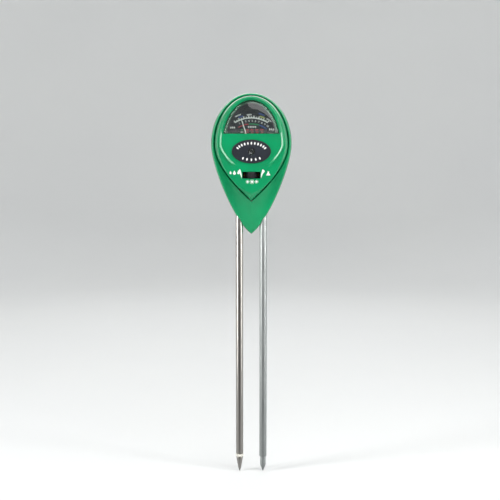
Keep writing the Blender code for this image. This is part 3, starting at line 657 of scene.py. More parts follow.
class Skin:
    """A skin grown from one circle: its open edge is extruded from outline to outline."""

    def __init__(self, name: str, first: Sequence[Point]) -> None:
        """Lay a circle on the first outline.

        Args:
            name: the piece's name.
            first: the first outline, in mm.
        """
        bpy.ops.object.select_all(action="DESELECT")
        bpy.ops.mesh.primitive_circle_add(
            vertices=len(first), radius=MM, fill_type="NOTHING", location=(0, 0, 0)
        )
        self.piece = name_piece(name)
        self.first = [Vector(point) * MM for point in first]
        bpy.ops.object.mode_set(mode="EDIT")
        bpy.ops.mesh.select_mode(type="VERT")
        mesh = bmesh.from_edit_mesh(self.piece.data)
        for vert, place in zip(mesh.verts, self.first):
            vert.co = place
            vert.select_set(True)
        bmesh.update_edit_mesh(self.piece.data)
        self.last = self.first

    @staticmethod
    def key(place: Vector) -> tuple[int, int, int]:
        """Give a point's place to a hundredth of a micron, to find it again."""
        return tuple(round(value * KEY_STEPS) for value in place)

    def draw(self, outline: Sequence[Point]) -> "Skin":
        """Extrude the open edge and lay it on the next outline.

        Args:
            outline: as many points as the first one, in mm.

        Returns:
            The skin itself.
        """
        bpy.ops.mesh.extrude_region_move()
        order = {self.key(place): index for index, place in enumerate(self.last)}
        self.last = [Vector(point) * MM for point in outline]
        mesh = bmesh.from_edit_mesh(self.piece.data)
        moves = [(vert, order[self.key(vert.co)]) for vert in mesh.verts if vert.select]
        for vert, index in moves:
            vert.co = self.last[index]
        bmesh.update_edit_mesh(self.piece.data)
        self.last = [Vector(vert.co) for vert, _ in sorted(moves, key=lambda move: move[1])]
        return self

    def close(self, ends: bool = True) -> bpy.types.Object:
        """Close the skin flat over both ends, turn its faces out and leave edit mode.

        Args:
            ends: False joins the last outline to the first instead.

        Returns:
            The piece.
        """
        first = {self.key(place) for place in self.first}
        if ends:
            bpy.ops.mesh.edge_face_add()
            bpy.ops.mesh.select_all(action="DESELECT")
        mesh = bmesh.from_edit_mesh(self.piece.data)
        for vert in mesh.verts:
            if self.key(vert.co) in first:
                vert.select_set(True)
        mesh.select_flush(True)
        bmesh.update_edit_mesh(self.piece.data)
        if ends:
            bpy.ops.mesh.edge_face_add()
        else:
            bpy.ops.mesh.select_mode(type="EDGE")
            bpy.ops.mesh.bridge_edge_loops()
        bpy.ops.mesh.select_all(action="SELECT")
        bpy.ops.mesh.normals_make_consistent(inside=False)
        bpy.ops.object.mode_set(mode="OBJECT")
        return self.piece


def turned(
    name: str, profile: Sequence[Flat], axis: Flat, along: Axis = Axis.Z, steps: int = 64,
    closed: bool = False,
) -> bpy.types.Object:
    """A turned piece: its profile, spun once round its axis.

    Args:
        name: the piece's name.
        profile: (radius, place along the axis) in mm, in order.
        axis: where the axis stands: (x, y) for Z, (x, z) for Y.
        along: the axis's direction.
        steps: faces round it.
        closed: the profile is a loop, for a ring.

    Returns:
        The piece.
    """
    bpy.ops.object.select_all(action="DESELECT")
    bpy.ops.mesh.primitive_circle_add(vertices=len(profile), radius=MM, fill_type="NOTHING")
    piece = name_piece(name)
    bpy.ops.object.mode_set(mode="EDIT")
    bpy.ops.mesh.select_mode(type="VERT")
    mesh = bmesh.from_edit_mesh(piece.data)
    mesh.verts.ensure_lookup_table()
    for vert, (radius, level) in zip(mesh.verts, profile):
        vert.co = along.place(axis, radius, level)
    if not closed:
        ends = {mesh.verts[0], mesh.verts[-1]}
        mesh.edges.remove(next(e for e in mesh.edges if set(e.verts) == ends))
    bmesh.update_edit_mesh(piece.data)
    bpy.ops.mesh.select_all(action="SELECT")
    bpy.ops.mesh.spin(
        steps=steps, angle=math.tau, center=along.place(axis, 0.0, 0.0), axis=along.value,
        use_auto_merge=False,
    )
    bpy.ops.mesh.select_all(action="SELECT")
    bpy.ops.mesh.remove_doubles(threshold=MERGE_MM * MM)
    bpy.ops.mesh.normals_make_consistent(inside=False)
    bpy.ops.object.mode_set(mode="OBJECT")
    return piece


def soften(profile: Sequence[Flat], radius: float, steps: int = 3) -> list[Flat]:
    """Round the inner corners of an open profile.

    Args:
        profile: its points.
        radius: how far from each corner the rounding starts.
        steps: how many pieces each corner gets.

    Returns:
        The rounded profile.
    """
    points = [Vector(point) for point in profile]
    smooth = [points[0]]
    for before, corner, after in zip(points, points[1:], points[2:]):
        reach = min(radius, (corner - before).length * 0.45, (after - corner).length * 0.45)
        start = corner + (before - corner).normalized() * reach
        end = corner + (after - corner).normalized() * reach
        for step in range(steps + 1):
            t = step / steps
            smooth.append(start * (1 - t) ** 2 + corner * 2 * t * (1 - t) + end * t * t)
    smooth.append(points[-1])
    return [tuple(point) for point in smooth]


# ---------------------------------------------------------------- printed marks


@dataclass
class PrintLayer:
    """Marks of one ink on a flat surface that faces -Y, joined to one thin piece."""

    name: str
    surface_y: float
    finish: Finish
    thickness: float = 0.04
    marks: list[bpy.types.Object] = field(default_factory=list)

    def shape(self, outline: Sequence[Flat]) -> None:
        """Print one closed shape.

        Args:
            outline: its (x, z) corners in mm.
        """
        bpy.ops.object.select_all(action="DESELECT")
        bpy.ops.mesh.primitive_circle_add(vertices=len(outline), radius=MM, fill_type="NGON")
        mark = name_piece("mark")
        bpy.ops.object.mode_set(mode="EDIT")
        mesh = bmesh.from_edit_mesh(mark.data)
        for vert, (x, z) in zip(mesh.verts, outline):
            vert.co = Vector((x, self.surface_y, z)) * MM
        bmesh.update_edit_mesh(mark.data)
        bpy.ops.mesh.select_all(action="SELECT")
        bpy.ops.mesh.extrude_region_move(
            TRANSFORM_OT_translate={"value": (0, -self.thickness * MM, 0)}
        )
        bpy.ops.mesh.select_all(action="SELECT")
        bpy.ops.mesh.normals_make_consistent(inside=False)
        bpy.ops.object.mode_set(mode="OBJECT")
        self.marks.append(mark)

    def band(
        self, centre: Flat, inner: float, outer: float, start: float, end: float, steps: int = 24
    ) -> None:
        """Print part of a ring.

        Args:
            centre: (x, z) of its centre.
            inner: its inner radius.
            outer: its outer radius.
            start: first angle from upright, clockwise.
            end: last angle.
            steps: pieces along it.
        """
        turns = [start + (end - start) * step / steps for step in range(steps + 1)]
        rim = [polar(centre, outer, turn) for turn in turns]
        rim += [polar(centre, inner, turn) for turn in reversed(turns)]
        self.shape(rim)

    def text(self, word: str, at: Flat, height: float, turn: float = 0.0) -> None:
        """Print a plain number.

        Args:
            word: the number.
            at: (x, z) of its middle.
            height: its size in mm.
            turn: degrees clockwise.
        """
        bpy.ops.object.select_all(action="DESELECT")
        bpy.ops.object.text_add()
        letters = bpy.context.object
        letters.data.body = word
        letters.data.size = height * 1.4 * MM
        letters.data.align_x = "CENTER"
        letters.data.align_y = "CENTER"
        letters.data.extrude = self.thickness / 2 * MM
        letters.data.resolution_u = 3
        letters.data.offset = 0.03 * height * MM
        bpy.ops.object.convert(target="MESH")
        mark = bpy.context.object
        place = Vector((at[0], self.surface_y - self.thickness / 2, at[1])) * MM
        mark.matrix_world = (
            Matrix.Translation(place)
            @ Matrix.Rotation(math.radians(turn), 4, "Y")
            @ Matrix.Rotation(math.pi / 2, 4, "X")
        )
        self.marks.append(name_piece("mark"))

    def finish_layer(self, shelf: FinishShelf) -> None:
        """Join the marks to one piece that rides on the case.

        Args:
            shelf: where the ink comes from.
        """
        bpy.ops.object.select_all(action="DESELECT")
        for mark in self.marks:
            mark.select_set(True)
        bpy.context.view_layer.objects.active = self.marks[0]
        if len(self.marks) > 1:
            bpy.ops.object.join()
        piece = name_piece(self.name)
        shelf.dress(piece, self.finish)
        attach(piece, "case")
        log.info("%s: %d marks", self.name, len(self.marks))


def polar(centre: Flat, radius: float, turn: float) -> Flat:
    """Give the point at a radius and an angle in degrees clockwise from upright."""
    angle = math.radians(turn)
    return centre[0] + radius * math.sin(angle), centre[1] + radius * math.cos(angle)


def placed(
    outline: Sequence[Flat], at: Flat, turn: float = 0.0, scale: float = 1.0
) -> list[Flat]:
    """Move an outline drawn about (0, 0) to its place.

    Args:
        outline: its points.
        at: where (0, 0) goes.
        turn: degrees clockwise.
        scale: its size.

    Returns:
        The placed points.
    """
    angle = math.radians(turn)
    cos, sin = math.cos(angle) * scale, math.sin(angle) * scale
    return [(at[0] + x * cos + z * sin, at[1] - x * sin + z * cos) for x, z in outline]


def oval(half_width: float, half_height: float, count: int = 24) -> list[Flat]:
    """Give the points of an ellipse about (0, 0)."""
    turns = [math.tau * step / count for step in range(count)]
    return [(half_width * math.cos(turn), half_height * math.sin(turn)) for turn in turns]


def leaf(length: float, width: float, count: int = 8) -> list[Flat]:
    """Give a pointed leaf that stands upright about (0, 0).

    Args:
        length: its height in mm.
        width: its width in mm.
        count: points along each side.

    Returns:
        Its points.
    """
    sides = []
    for side in (1, -1):
        for step in range(count):
            share = step / count
            bulge = math.sin(math.pi * share) ** 0.8
            sides.append((side * width / 2 * bulge, side * length * (share - 0.5)))
    return sides


def droplet(height: float, count: int = 18) -> list[Flat]:
    """Give a drop, round below and pointed above, about (0, 0).

    Args:
        height: its height in mm.
        count: steps round its belly.

    Returns:
        Its points.
    """
    radius = height * 0.32
    points = [(0.0, height * 0.5)]
    first, sweep = 50, 280  # the belly's first angle and its length in degrees
    for step in range(count + 1):
        angle = math.radians(first - sweep * step / count)
        points.append(
            (radius * math.cos(angle), -height * 0.5 + radius + radius * math.sin(angle)))
    return points


# ---------------------------------------------------------------- the head's form


@dataclass(frozen=True)
class Egg:
    """An egg outline: half an ellipse above the widest level, a drawn-in curve below it.

    drop is how far the sides stay upright, pull how wide the lower bend is as a share of the
    half width, and rise how steeply the two sides meet at the bottom (0 is round).
    """

    half_width: float
    top: float
    bottom: float
    wide: float
    drop: float
    pull: float
    rise: float

    def within(self, side: float, top: float, bottom: float, **bend: float) -> "Egg":
        """Give a form inside this one.

        Args:
            side: how far inside at each side, in mm.
            top: how far below the top.
            bottom: how far above the bottom.
            bend: its own drop, pull and rise, if they change.

        Returns:
            The form.
        """
        return replace(self, half_width=self.half_width - side, top=self.top - top,
                       bottom=self.bottom + bottom, **bend)

    def inset(self, distance: float, tail: float = 1.45) -> "Egg":
        """Give the same form smaller all round, its bottom end by tail times as much."""
        return self.within(distance, distance, tail * distance)

    def towards(self, other: "Egg", share: float) -> "Egg":
        """Give the form a share of the way to another."""
        return Egg(*(a + (b - a) * share for a, b in zip(astuple(self), astuple(other))))

    def points(self, count: int = 144) -> list[Flat]:
        """Give (x, z) from the bottom, up the right side, over the top and down the left.

        Args:
            count: how many points, a multiple of four.

        Returns:
            The points in mm.
        """
        quarter = count // 4
        right = [self.flank(1.0 - step / quarter) for step in range(quarter)]
        for step in range(quarter):
            angle = 0.5 * math.pi * step / quarter
            right.append((self.half_width * math.cos(angle),
                          self.wide + (self.top - self.wide) * math.sin(angle)))
        left = [(-x, z) for x, z in reversed(right[1:])]
        return right + [(0.0, self.top)] + left

    def flank(self, t: float) -> Flat:
        """Give a point of the right side below the widest level.

        Args:
            t: how far down it is, from 0 at the widest level to 1 at the bottom.

        Returns:
            Its (x, z).
        """
        corners = ((self.half_width, self.wide), (self.half_width, self.wide - self.drop),
                   (self.half_width * self.pull, self.bottom + self.rise), (0.0, self.bottom))
        weights = ((1 - t) ** 3, 3 * t * (1 - t) ** 2, 3 * t * t * (1 - t), t ** 3)
        return tuple(sum(w * c[axis] for w, c in zip(weights, corners)) for axis in (0, 1))


def ring(outline: Sequence[Flat], depth: float | Callable[[float], float]) -> list[Point]:
    """Put an outline in space.

    Args:
        outline: (x, z) points.
        depth: y, or y as a function of z.

    Returns:
        The points.
    """
    at = depth if callable(depth) else lambda _z: depth
    return [(x, at(z), z) for x, z in outline]


def eased(low: float, high: float, share: float) -> float:
    """Go from low to high with a soft start and end.

    Args:
        low: the value up to a share of 0.
        high: the value from a share of 1 on.
        share: how far it has gone.

    Returns:
        The value.
    """
    share = min(max(share, 0.0), 1.0)
    return low + (high - low) * share * share * (3 - 2 * share)


def span(node: str) -> tuple[Vector, Vector]:
    """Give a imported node's lowest and highest corners in mm."""
    low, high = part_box(node)
    return Vector(low) / MM, Vector(high) / MM


def middle(node: str) -> Vector:
    """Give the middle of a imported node's box in mm."""
    low, high = span(node)
    return (low + high) / 2


@dataclass(frozen=True)
class HeadForm:
    """The head's outlines, from the boxes of its two shells.

    crown is how far the widest level lies below the top. The keel is the ridge down the chin:
    the seam comes forward from seam_level to seam_keel over keel_length, from keel_top above the
    seam's bottom. The rim falls back to tip_share of its depth over chin_length.
    """

    CROWN = 37.5

    head: Egg
    seam: Egg
    face: Egg
    bead: Egg
    face_y: float
    back_y: float
    wall: float = 2.0
    face_wall: float = 1.8
    seam_level: float = -5.2
    seam_keel: float = -7.8
    keel_top: float = 21.3
    keel_length: float = 23.0
    chin_length: float = 32.0
    tip_share: float = 0.4
    gap: float = 0.5

    @classmethod
    def from_frame(cls) -> "HeadForm":
        """Measure the shells and lay the outlines on them.

        Returns:
            The head's form.
        """
        low, high = span("rear_shell")
        wide = high.z - cls.CROWN
        head = Egg(high.x, high.z, low.z, wide, drop=17.3, pull=0.417, rise=8.8)
        front_low, front_high = span("front_shell")
        seam = Egg(front_high.x, front_high.z, front_low.z, wide, drop=14.5, pull=0.53, rise=13.0)
        face = seam.within(side=2.6, top=1.0, bottom=6.8, drop=12.5, pull=0.53, rise=1.5)
        bead = seam.within(side=4.2, top=2.1, bottom=21.1, drop=5.0, pull=0.52, rise=0.0)
        return cls(head, seam, face, bead, front_low.y, high.y)

    def seam_y(self, z: float) -> float:
        """Give the seam's depth: level round the head, forward at the keel of the chin."""
        start = self.seam.bottom + self.keel_top
        return eased(self.seam_level, self.seam_keel, (start - z) / self.keel_length)

    def chin_y(self, level: float) -> Callable[[float], float]:
        """Give a depth that falls back towards the tip of the chin.

        Args:
            level: the depth round the head.

        Returns:
            The depth as a function of z.
        """
        def depth(z: float) -> float:
            """Give the depth at a height."""
            share = min(max((z - self.head.bottom) / self.chin_length, 0.0), 1.0)
            return level * (self.tip_share + (1.0 - self.tip_share) * share)
        return depth

    def behind_seam(self, outline: Egg, depth: float) -> list[Point]:
        """Give an outline's ring at a depth behind the seam."""
        return ring(outline.points(), lambda z: self.seam_y(z) + depth)


# ---------------------------------------------------------------- sub-assemblies


@dataclass(frozen=True)
class ScrewPost:
    """A post moulded behind the face for a packed screw, and the bore for its thread."""

    screw: str
    radius: float
    back: float
    bore_r: float
    bore_front: float
    bore_back: float

    def mould(self, shell: bpy.types.Object, front: float) -> None:
        """Join the post to a shell and bore it.

        Args:
            shell: the shell.
            front: where the post starts inside the face's wall.
        """
        at = middle(self.screw)
        post = rod("post", self.radius, (at.x, at.z), front, self.back)
        carve(shell, [post], Carve.JOIN)
        bore = rod("bore", self.bore_r, (at.x, at.z), self.bore_front, self.bore_back)
        carve(shell, [bore], Carve.CUT)


@dataclass
class Case:
    """The two green shells and the three screws that hold them together.

    The bead's profile is (distance outward from its line, height), gentle inside and steep
    outside; the bead dies away from bead_full down to bead_end. The rolled rim is (inset, y at
    the head), and a lip is (inset, depth behind the seam). Shares place rings between outlines,
    split_y is where the two shells' posts meet, and past is how far tools reach beyond a wall.
    """

    BEAD_PROFILE = ((-1.2, 0.0), (-1.08, 0.02), (-0.96, 0.08), (-0.85, 0.15), (-0.5, 0.397),
                    (-0.15, 0.644), (0.12, 0.834), (0.28, 0.91), (0.42, 0.93), (0.56, 0.88),
                    (0.7, 0.74), (0.82, 0.5), (0.9, 0.26), (0.96, 0.08), (1.0, 0.0))
    ROLLED_RIM = ((0.03, -1.4), (0.15, -3.0), (0.4, -4.0), (0.7, -4.7), (1.0, -5.1), (1.35, -5.3))
    RIM_SHARES = (0.3, 0.65, 0.9)
    REAR_LIP = ((-0.12, 0.03), (0.0, 0.2))
    FRONT_LIP = ((0.02, 0.05), (0.0, 0.35))
    SHOULDER_SHARES = (1.0, 0.93, 0.85, 0.75, 0.63, 0.5, 0.37, 0.25, 0.14, 0.06)
    SCREWS = ("case_screw_left", "case_screw_right", "case_screw_lower")

    form: HeadForm
    shelf: FinishShelf
    bowl_inset: float = 14.0
    bowl_tail: float = 2.6
    bowl_steps: int = 18
    lining_turn: int = 15
    lining_y: float = -3.1
    rim_y: float = -5.35
    bead_end: float = 235.5
    bead_full: float = 240.0
    skirt: float = 1.0
    skirt_width: float = 1.4
    skirt_depth: float = 4.0
    slot_half_width: float = 6.6
    slot_half_height: float = 2.5
    slot_round: float = 0.3
    eye_r: float = 2.7
    eye_seat_r: float = 3.5
    eye_seat_depth: float = 0.8
    probe_x: float = 9.0
    probe_hole_r: float = 3.1
    probe_hole_top: float = 207.0
    probe_hole_bottom: float = 175.0
    screw_well_r: float = 2.2
    screw_head_r: float = 1.9
    screw_head_depth: float = 1.45
    thread_r: float = 0.85
    thread_root_r: float = 0.6
    thread_pitch: float = 0.75
    split_y: float = 4.0
    past: float = 2.0

    def build(self) -> None:
        """Model both shells and the screws."""
        self.build_rear()
        self.build_front()
        for node in self.SCREWS:
            self.build_screw(node)

    def bowl(self, angle: float, wall: float) -> list[Point]:
        """Give a ring of the rear bowl.

        Args:
            angle: where it lies, from the side at 0 degrees to the flat back at 90.
            wall: how far inside the bowl's skin.

        Returns:
            Its points.
        """
        turn = math.radians(angle)
        inset = self.bowl_inset * (1 - math.cos(turn)) + wall
        outline = self.form.head.inset(inset, self.bowl_tail)
        return ring(outline.points(), (self.form.back_y - wall) * math.sin(turn))

    def build_rear(self) -> None:
        """The rear bowl with its rolled rim, the keeled chin, screw wells and probe holes."""
        form = self.form
        opening = form.seam.inset(-form.gap)
        skin = Skin("rear_shell_moulding", self.bowl(90.0, 0.0))
        for step in range(1, self.bowl_steps + 1):
            skin.draw(self.bowl(90.0 * (1 - step / self.bowl_steps), 0.0))
        for inset, level in self.ROLLED_RIM:
            skin.draw(ring(form.head.inset(inset).points(), form.chin_y(level)))
        edge = form.head.inset(self.ROLLED_RIM[-1][0])
        rim = ring(edge.points(), form.chin_y(self.rim_y))
        end = ring(opening.points(), form.seam_y)
        for share in self.RIM_SHARES:
            outline = edge.towards(opening, share).points()
            skin.draw([(x, a[1] + (b[1] - a[1]) * share, z)
                       for (x, z), a, b in zip(outline, rim, end)])
        for inset, depth in (*self.REAR_LIP, (0.0, form.face_wall)):
            skin.draw(form.behind_seam(opening.inset(inset), depth))
        lining = form.head.inset(form.wall + 0.4, self.bowl_tail)
        skin.draw(ring(lining.points(), form.chin_y(self.lining_y)))
        for angle in range(0, 91, self.lining_turn):
            skin.draw(self.bowl(angle, form.wall))
        shell = skin.close()
        self.bore_rear(shell)
        self.give(shell, "rear_shell")

    def bore_rear(self, shell: bpy.types.Object) -> None:
        """Give the rear shell its screw posts and wells and the holes for the probes.

        Args:
            shell: the closed shell.
        """
        back = self.form.back_y
        wells = [middle(node) for node in self.SCREWS]
        for name, radius, near, far, way in (
            ("post", 2.9, self.split_y, back - 1.6, Carve.JOIN),
            ("well", self.screw_well_r, 8.0, back + self.past, Carve.CUT),
            ("shank", 1.3, 2.0, 9.0, Carve.CUT),
        ):
            carve(shell, [rod(name, radius, (at.x, at.z), near, far) for at in wells], way)
        for side in Side:
            probe = middle(f"probe_{side.name.lower()}")
            hole = [(0.0, self.probe_hole_top), (self.probe_hole_r, self.probe_hole_top),
                    (self.probe_hole_r, self.probe_hole_bottom), (0.0, self.probe_hole_bottom)]
            carve(shell, [turned("probe_hole", hole, (probe.x, probe.y), steps=48)], Carve.CUT)

        def at_probe(at: Vector) -> bool:
            """Tell whether a place is at the mouth of a probe's hole."""
            near = abs(abs(at.x) - self.probe_x) < self.probe_hole_r + 0.1
            return near and at.z < self.probe_hole_top - 1.0

        round_edges(shell, 0.35, lambda at: at.y > back - 1.0, sharper=60)
        round_edges(shell, 0.3, at_probe, sharper=25)

    def build_front(self) -> None:
        """The front shell: rounded edge, raised bead, window opening, slot and light hole."""
        form = self.form
        face_inner = form.face_y + form.face_wall
        inner = self.skirt + self.skirt_width
        bead_inner, bead_outer = (form.bead.inset(-self.BEAD_PROFILE[end][0]) for end in (0, -1))

        def raised(height: float) -> Callable[[float], float]:
            """Give the y of the bead at a height of its profile, as a function of z."""
            reach = self.bead_full - self.bead_end
            return lambda z: form.face_y - eased(0.0, height, (z - self.bead_end) / reach)

        # The face is drawn from the middle of the bead's inside out to the edge, then inside.
        skin = Skin("front_shell_moulding", ring(bead_inner.inset(0.8).points(), form.face_y))
        for outward, height in self.BEAD_PROFILE:
            skin.draw(ring(form.bead.inset(-outward).points(), raised(height)))
        skin.draw(ring(bead_outer.towards(form.face, 0.5).points(), form.face_y))
        for share in self.SHOULDER_SHARES:
            skin.draw(self.shoulder(share))
        for inset, depth in (*self.FRONT_LIP, (0.0, form.face_wall),
                             (self.skirt, form.face_wall), (self.skirt, self.skirt_depth),
                             (inner, self.skirt_depth), (inner, 0.0)):
            skin.draw(form.behind_seam(form.seam.inset(inset), depth))
        lining = form.seam.towards(form.face, 0.4).inset(1.9)
        skin.draw(ring(lining.points(),
                       lambda z: form.seam_y(z) + (face_inner - form.seam_y(z)) * 0.6))
        skin.draw(ring(form.face.inset(1.3).points(), face_inner))
        shell = skin.close()
        self.open_face(shell, face_inner)
        self.give(shell, "front_shell")

    def shoulder(self, share: float) -> list[Point]:
        """Give a ring of the rounded edge.

        Args:
            share: how far it lies from the seam to the face.

        Returns:
            Its points.
        """
        form = self.form
        bulge = 1.0 - (1.0 - share) ** 2
        return ring(form.seam.towards(form.face, share).points(),
                    lambda z: form.seam_y(z) + (form.face_y - form.seam_y(z)) * bulge)

    def open_face(self, shell: bpy.types.Object, face_inner: float) -> None:
        """Cut the front shell's openings and mould the posts behind its face.

        Args:
            shell: the closed shell.
            face_inner: the y of its face's inside.
        """
        low, high = self.form.face_y - self.past, face_inner + self.past
        window = DomedWindow(self.form, self.shelf)
        hole = Skin("window_hole", ring(window.outline(0.0), low))
        hole = hole.draw(ring(window.outline(0.0), high)).close()
        knob, eye = middle("switch_knob"), middle("light_window")
        slot = block("slot", (-self.slot_half_width, low, knob.z - self.slot_half_height),
                     (self.slot_half_width, high, knob.z + self.slot_half_height))
        seat = face_inner - self.eye_seat_depth
        carve(shell, [hole, slot, rod("eye", self.eye_r, (eye.x, eye.z), low, high, 48),
                      rod("seat", self.eye_seat_r, (eye.x, eye.z), seat, high, 48)], Carve.CUT)
        back, end = self.split_y - 0.3, self.split_y + 1.0
        posts = [ScrewPost(node, radius, back, 1.2, face_inner + 1.5, end)
                 for node, radius in zip(self.SCREWS, (2.4, 2.4, 2.2))]
        sides = [side.name.lower() for side in Side]
        posts += [ScrewPost(f"movement_screw_{side}", 2.0, 2.5, 1.0, -6.0, 3.5) for side in sides]
        posts += [ScrewPost(f"switch_screw_{side}", 1.6, -7.9, 0.9, -10.2, -6.9) for side in sides]
        for post in posts:
            post.mould(shell, face_inner - 0.5)
        round_edges(shell, self.slot_round,
                    lambda at: at.y < self.form.face_y + 0.1 and abs(at.x) < 22.0, sharper=60)

    def give(self, shell: bpy.types.Object, node: str) -> None:
        """Finish a shell, with its keel crisp, and let it stand for its node.

        Args:
            shell: the shell.
            node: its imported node.
        """
        def on_keel(edge: bmesh.types.BMEdge) -> bool:
            """Tell whether an edge runs down the front of the chin."""
            central = all(abs(v.co.x) < 0.01 * MM and v.co.y < 0.0 for v in edge.verts)
            return central and edge.verts[0].co.z / MM < self.form.face.bottom

        shade(shell, 34.0)
        select_edges(shell, on_keel)
        bpy.ops.mesh.mark_sharp()
        bpy.ops.object.mode_set(mode="OBJECT")
        apply_modifier(shell, "WEIGHTED_NORMAL", keep_sharp=True, weight=NORMAL_WEIGHT)
        self.shelf.install(shell, node, GREEN_ABS, "green_case")

    def build_screw(self, node: str) -> None:
        """A pan-head screw with a cross recess, its head down its well at the back.

        Args:
            node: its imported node.
        """
        low, high = span(node)
        at = middle(node)
        back, under = high.y, high.y - self.screw_head_depth
        profile = [(0.0, back), (0.9, back - 0.03), (1.5, back - 0.25),
                   (self.screw_head_r - 0.1, back - 0.6), (self.screw_head_r, back - 0.8),
                   (self.screw_head_r, under), (self.thread_r, under)]
        crest = under - 0.8
        while crest > low.y + 2.0:
            profile += [(self.thread_r, crest), (self.thread_root_r, crest - 0.35),
                        (self.thread_r, crest - 0.7)]
            crest -= self.thread_pitch
        profile += [(self.thread_root_r, low.y + 1.0), (0.0, low.y)]
        screw = turned(f"{node}_turned", profile, (at.x, at.z), along=Axis.Y, steps=36)
        arms = []
        for wide, tall in ((0.2, 1.05), (1.05, 0.2)):
            arms.append(block("arm", (at.x - wide, back - 0.75, at.z - tall),
                              (at.x + wide, back + 0.5, at.z + tall)))
        carve(screw, arms, Carve.CUT)
        shade(screw, 40.0)
        self.shelf.install(screw, node, ZINC_STEEL, "zinc_steel")


@dataclass
class DomedWindow:
    """The clear dome over the dial: nearly flat in the middle and steep at its arch and sill.

    The slope falls slope_depth over slope_width. The sill takes part in an inset only up to
    1 - sill_share of it, and the dome's inside is drawn in by inner_share of the outside's.
    """

    form: HeadForm
    shelf: FinishShelf
    flange: float = 0.8
    thick: float = 1.3
    clearance: float = 0.35
    half_width: float = 21.2
    arch_points: int = 150
    sill_steps: int = 16
    sill_share: float = 0.62
    inner_share: float = 0.9
    slope_width: float = 13.0
    slope_depth: float = 3.1
    slope_steps: int = 30

    def outline(self, grow: float, sill_lift: float = 0.0) -> list[Flat]:
        """Give the D of the window.

        Args:
            grow: how much larger than the opening all round.
            sill_lift: how much of an inset the sill doesn't follow.

        Returns:
            Its (x, z) points.
        """
        low, high = span("dial_window")
        wide = self.form.head.wide
        half_width = self.half_width + grow
        rise = high.z - self.flange - wide + grow
        sill = low.z + self.flange - grow - sill_lift
        start = math.asin((sill - wide) / rise)
        points = []
        for step in range(self.arch_points):
            angle = start + (math.pi - 2 * start) * step / (self.arch_points - 1)
            points.append((half_width * math.cos(angle), wide + rise * math.sin(angle)))
        end, steps = points[0][0], self.sill_steps
        points += [(-end + 2 * end * step / steps, sill) for step in range(1, steps)]
        return points

    def build(self) -> None:
        """Model the dome from its crown out to the flange and back up its inside."""
        low, high = span("dial_window")
        crown, flange_back = low.y, high.y
        flange_front = flange_back - self.thick + self.clearance
        slope = []
        for step in range(self.slope_steps + 1):
            share = math.sin(0.5 * math.pi * step / self.slope_steps)
            slope.append((self.slope_width * (1 - share),
                          self.slope_depth * (1 - math.sqrt(1 - share ** 3))))

        def shell(inset: float, y: float) -> list[Point]:
            """Give a ring of the dome."""
            return ring(self.outline(-self.clearance - inset, inset * self.sill_share), y)

        skin = Skin("dial_window_moulding", shell(slope[0][0], crown))
        for inset, depth in slope[1:]:
            skin.draw(shell(inset, crown + depth))
        skin.draw(shell(0.0, flange_front))
        skin.draw(ring(self.outline(self.flange), flange_front))
        skin.draw(ring(self.outline(self.flange), flange_back))
        skin.draw(shell(self.thick, flange_back))
        for inset, depth in reversed(slope):
            skin.draw(shell(self.thick + inset * self.inner_share, crown + self.thick + depth))
        dome = skin.close()
        shade(dome, 40.0)
        self.shelf.install(dome, "dial_window", CLEAR_PS, "clear_window")


class DialInk(Enum):
    """The inks of the dial, in the order of their layers."""

    WHITE = WHITE_INK_AND_HIGHLIGHT
    RED = RED_INK
    GREEN = GREEN_INK
    BLUE = BLUE_INK
    YELLOW = YELLOW_INK


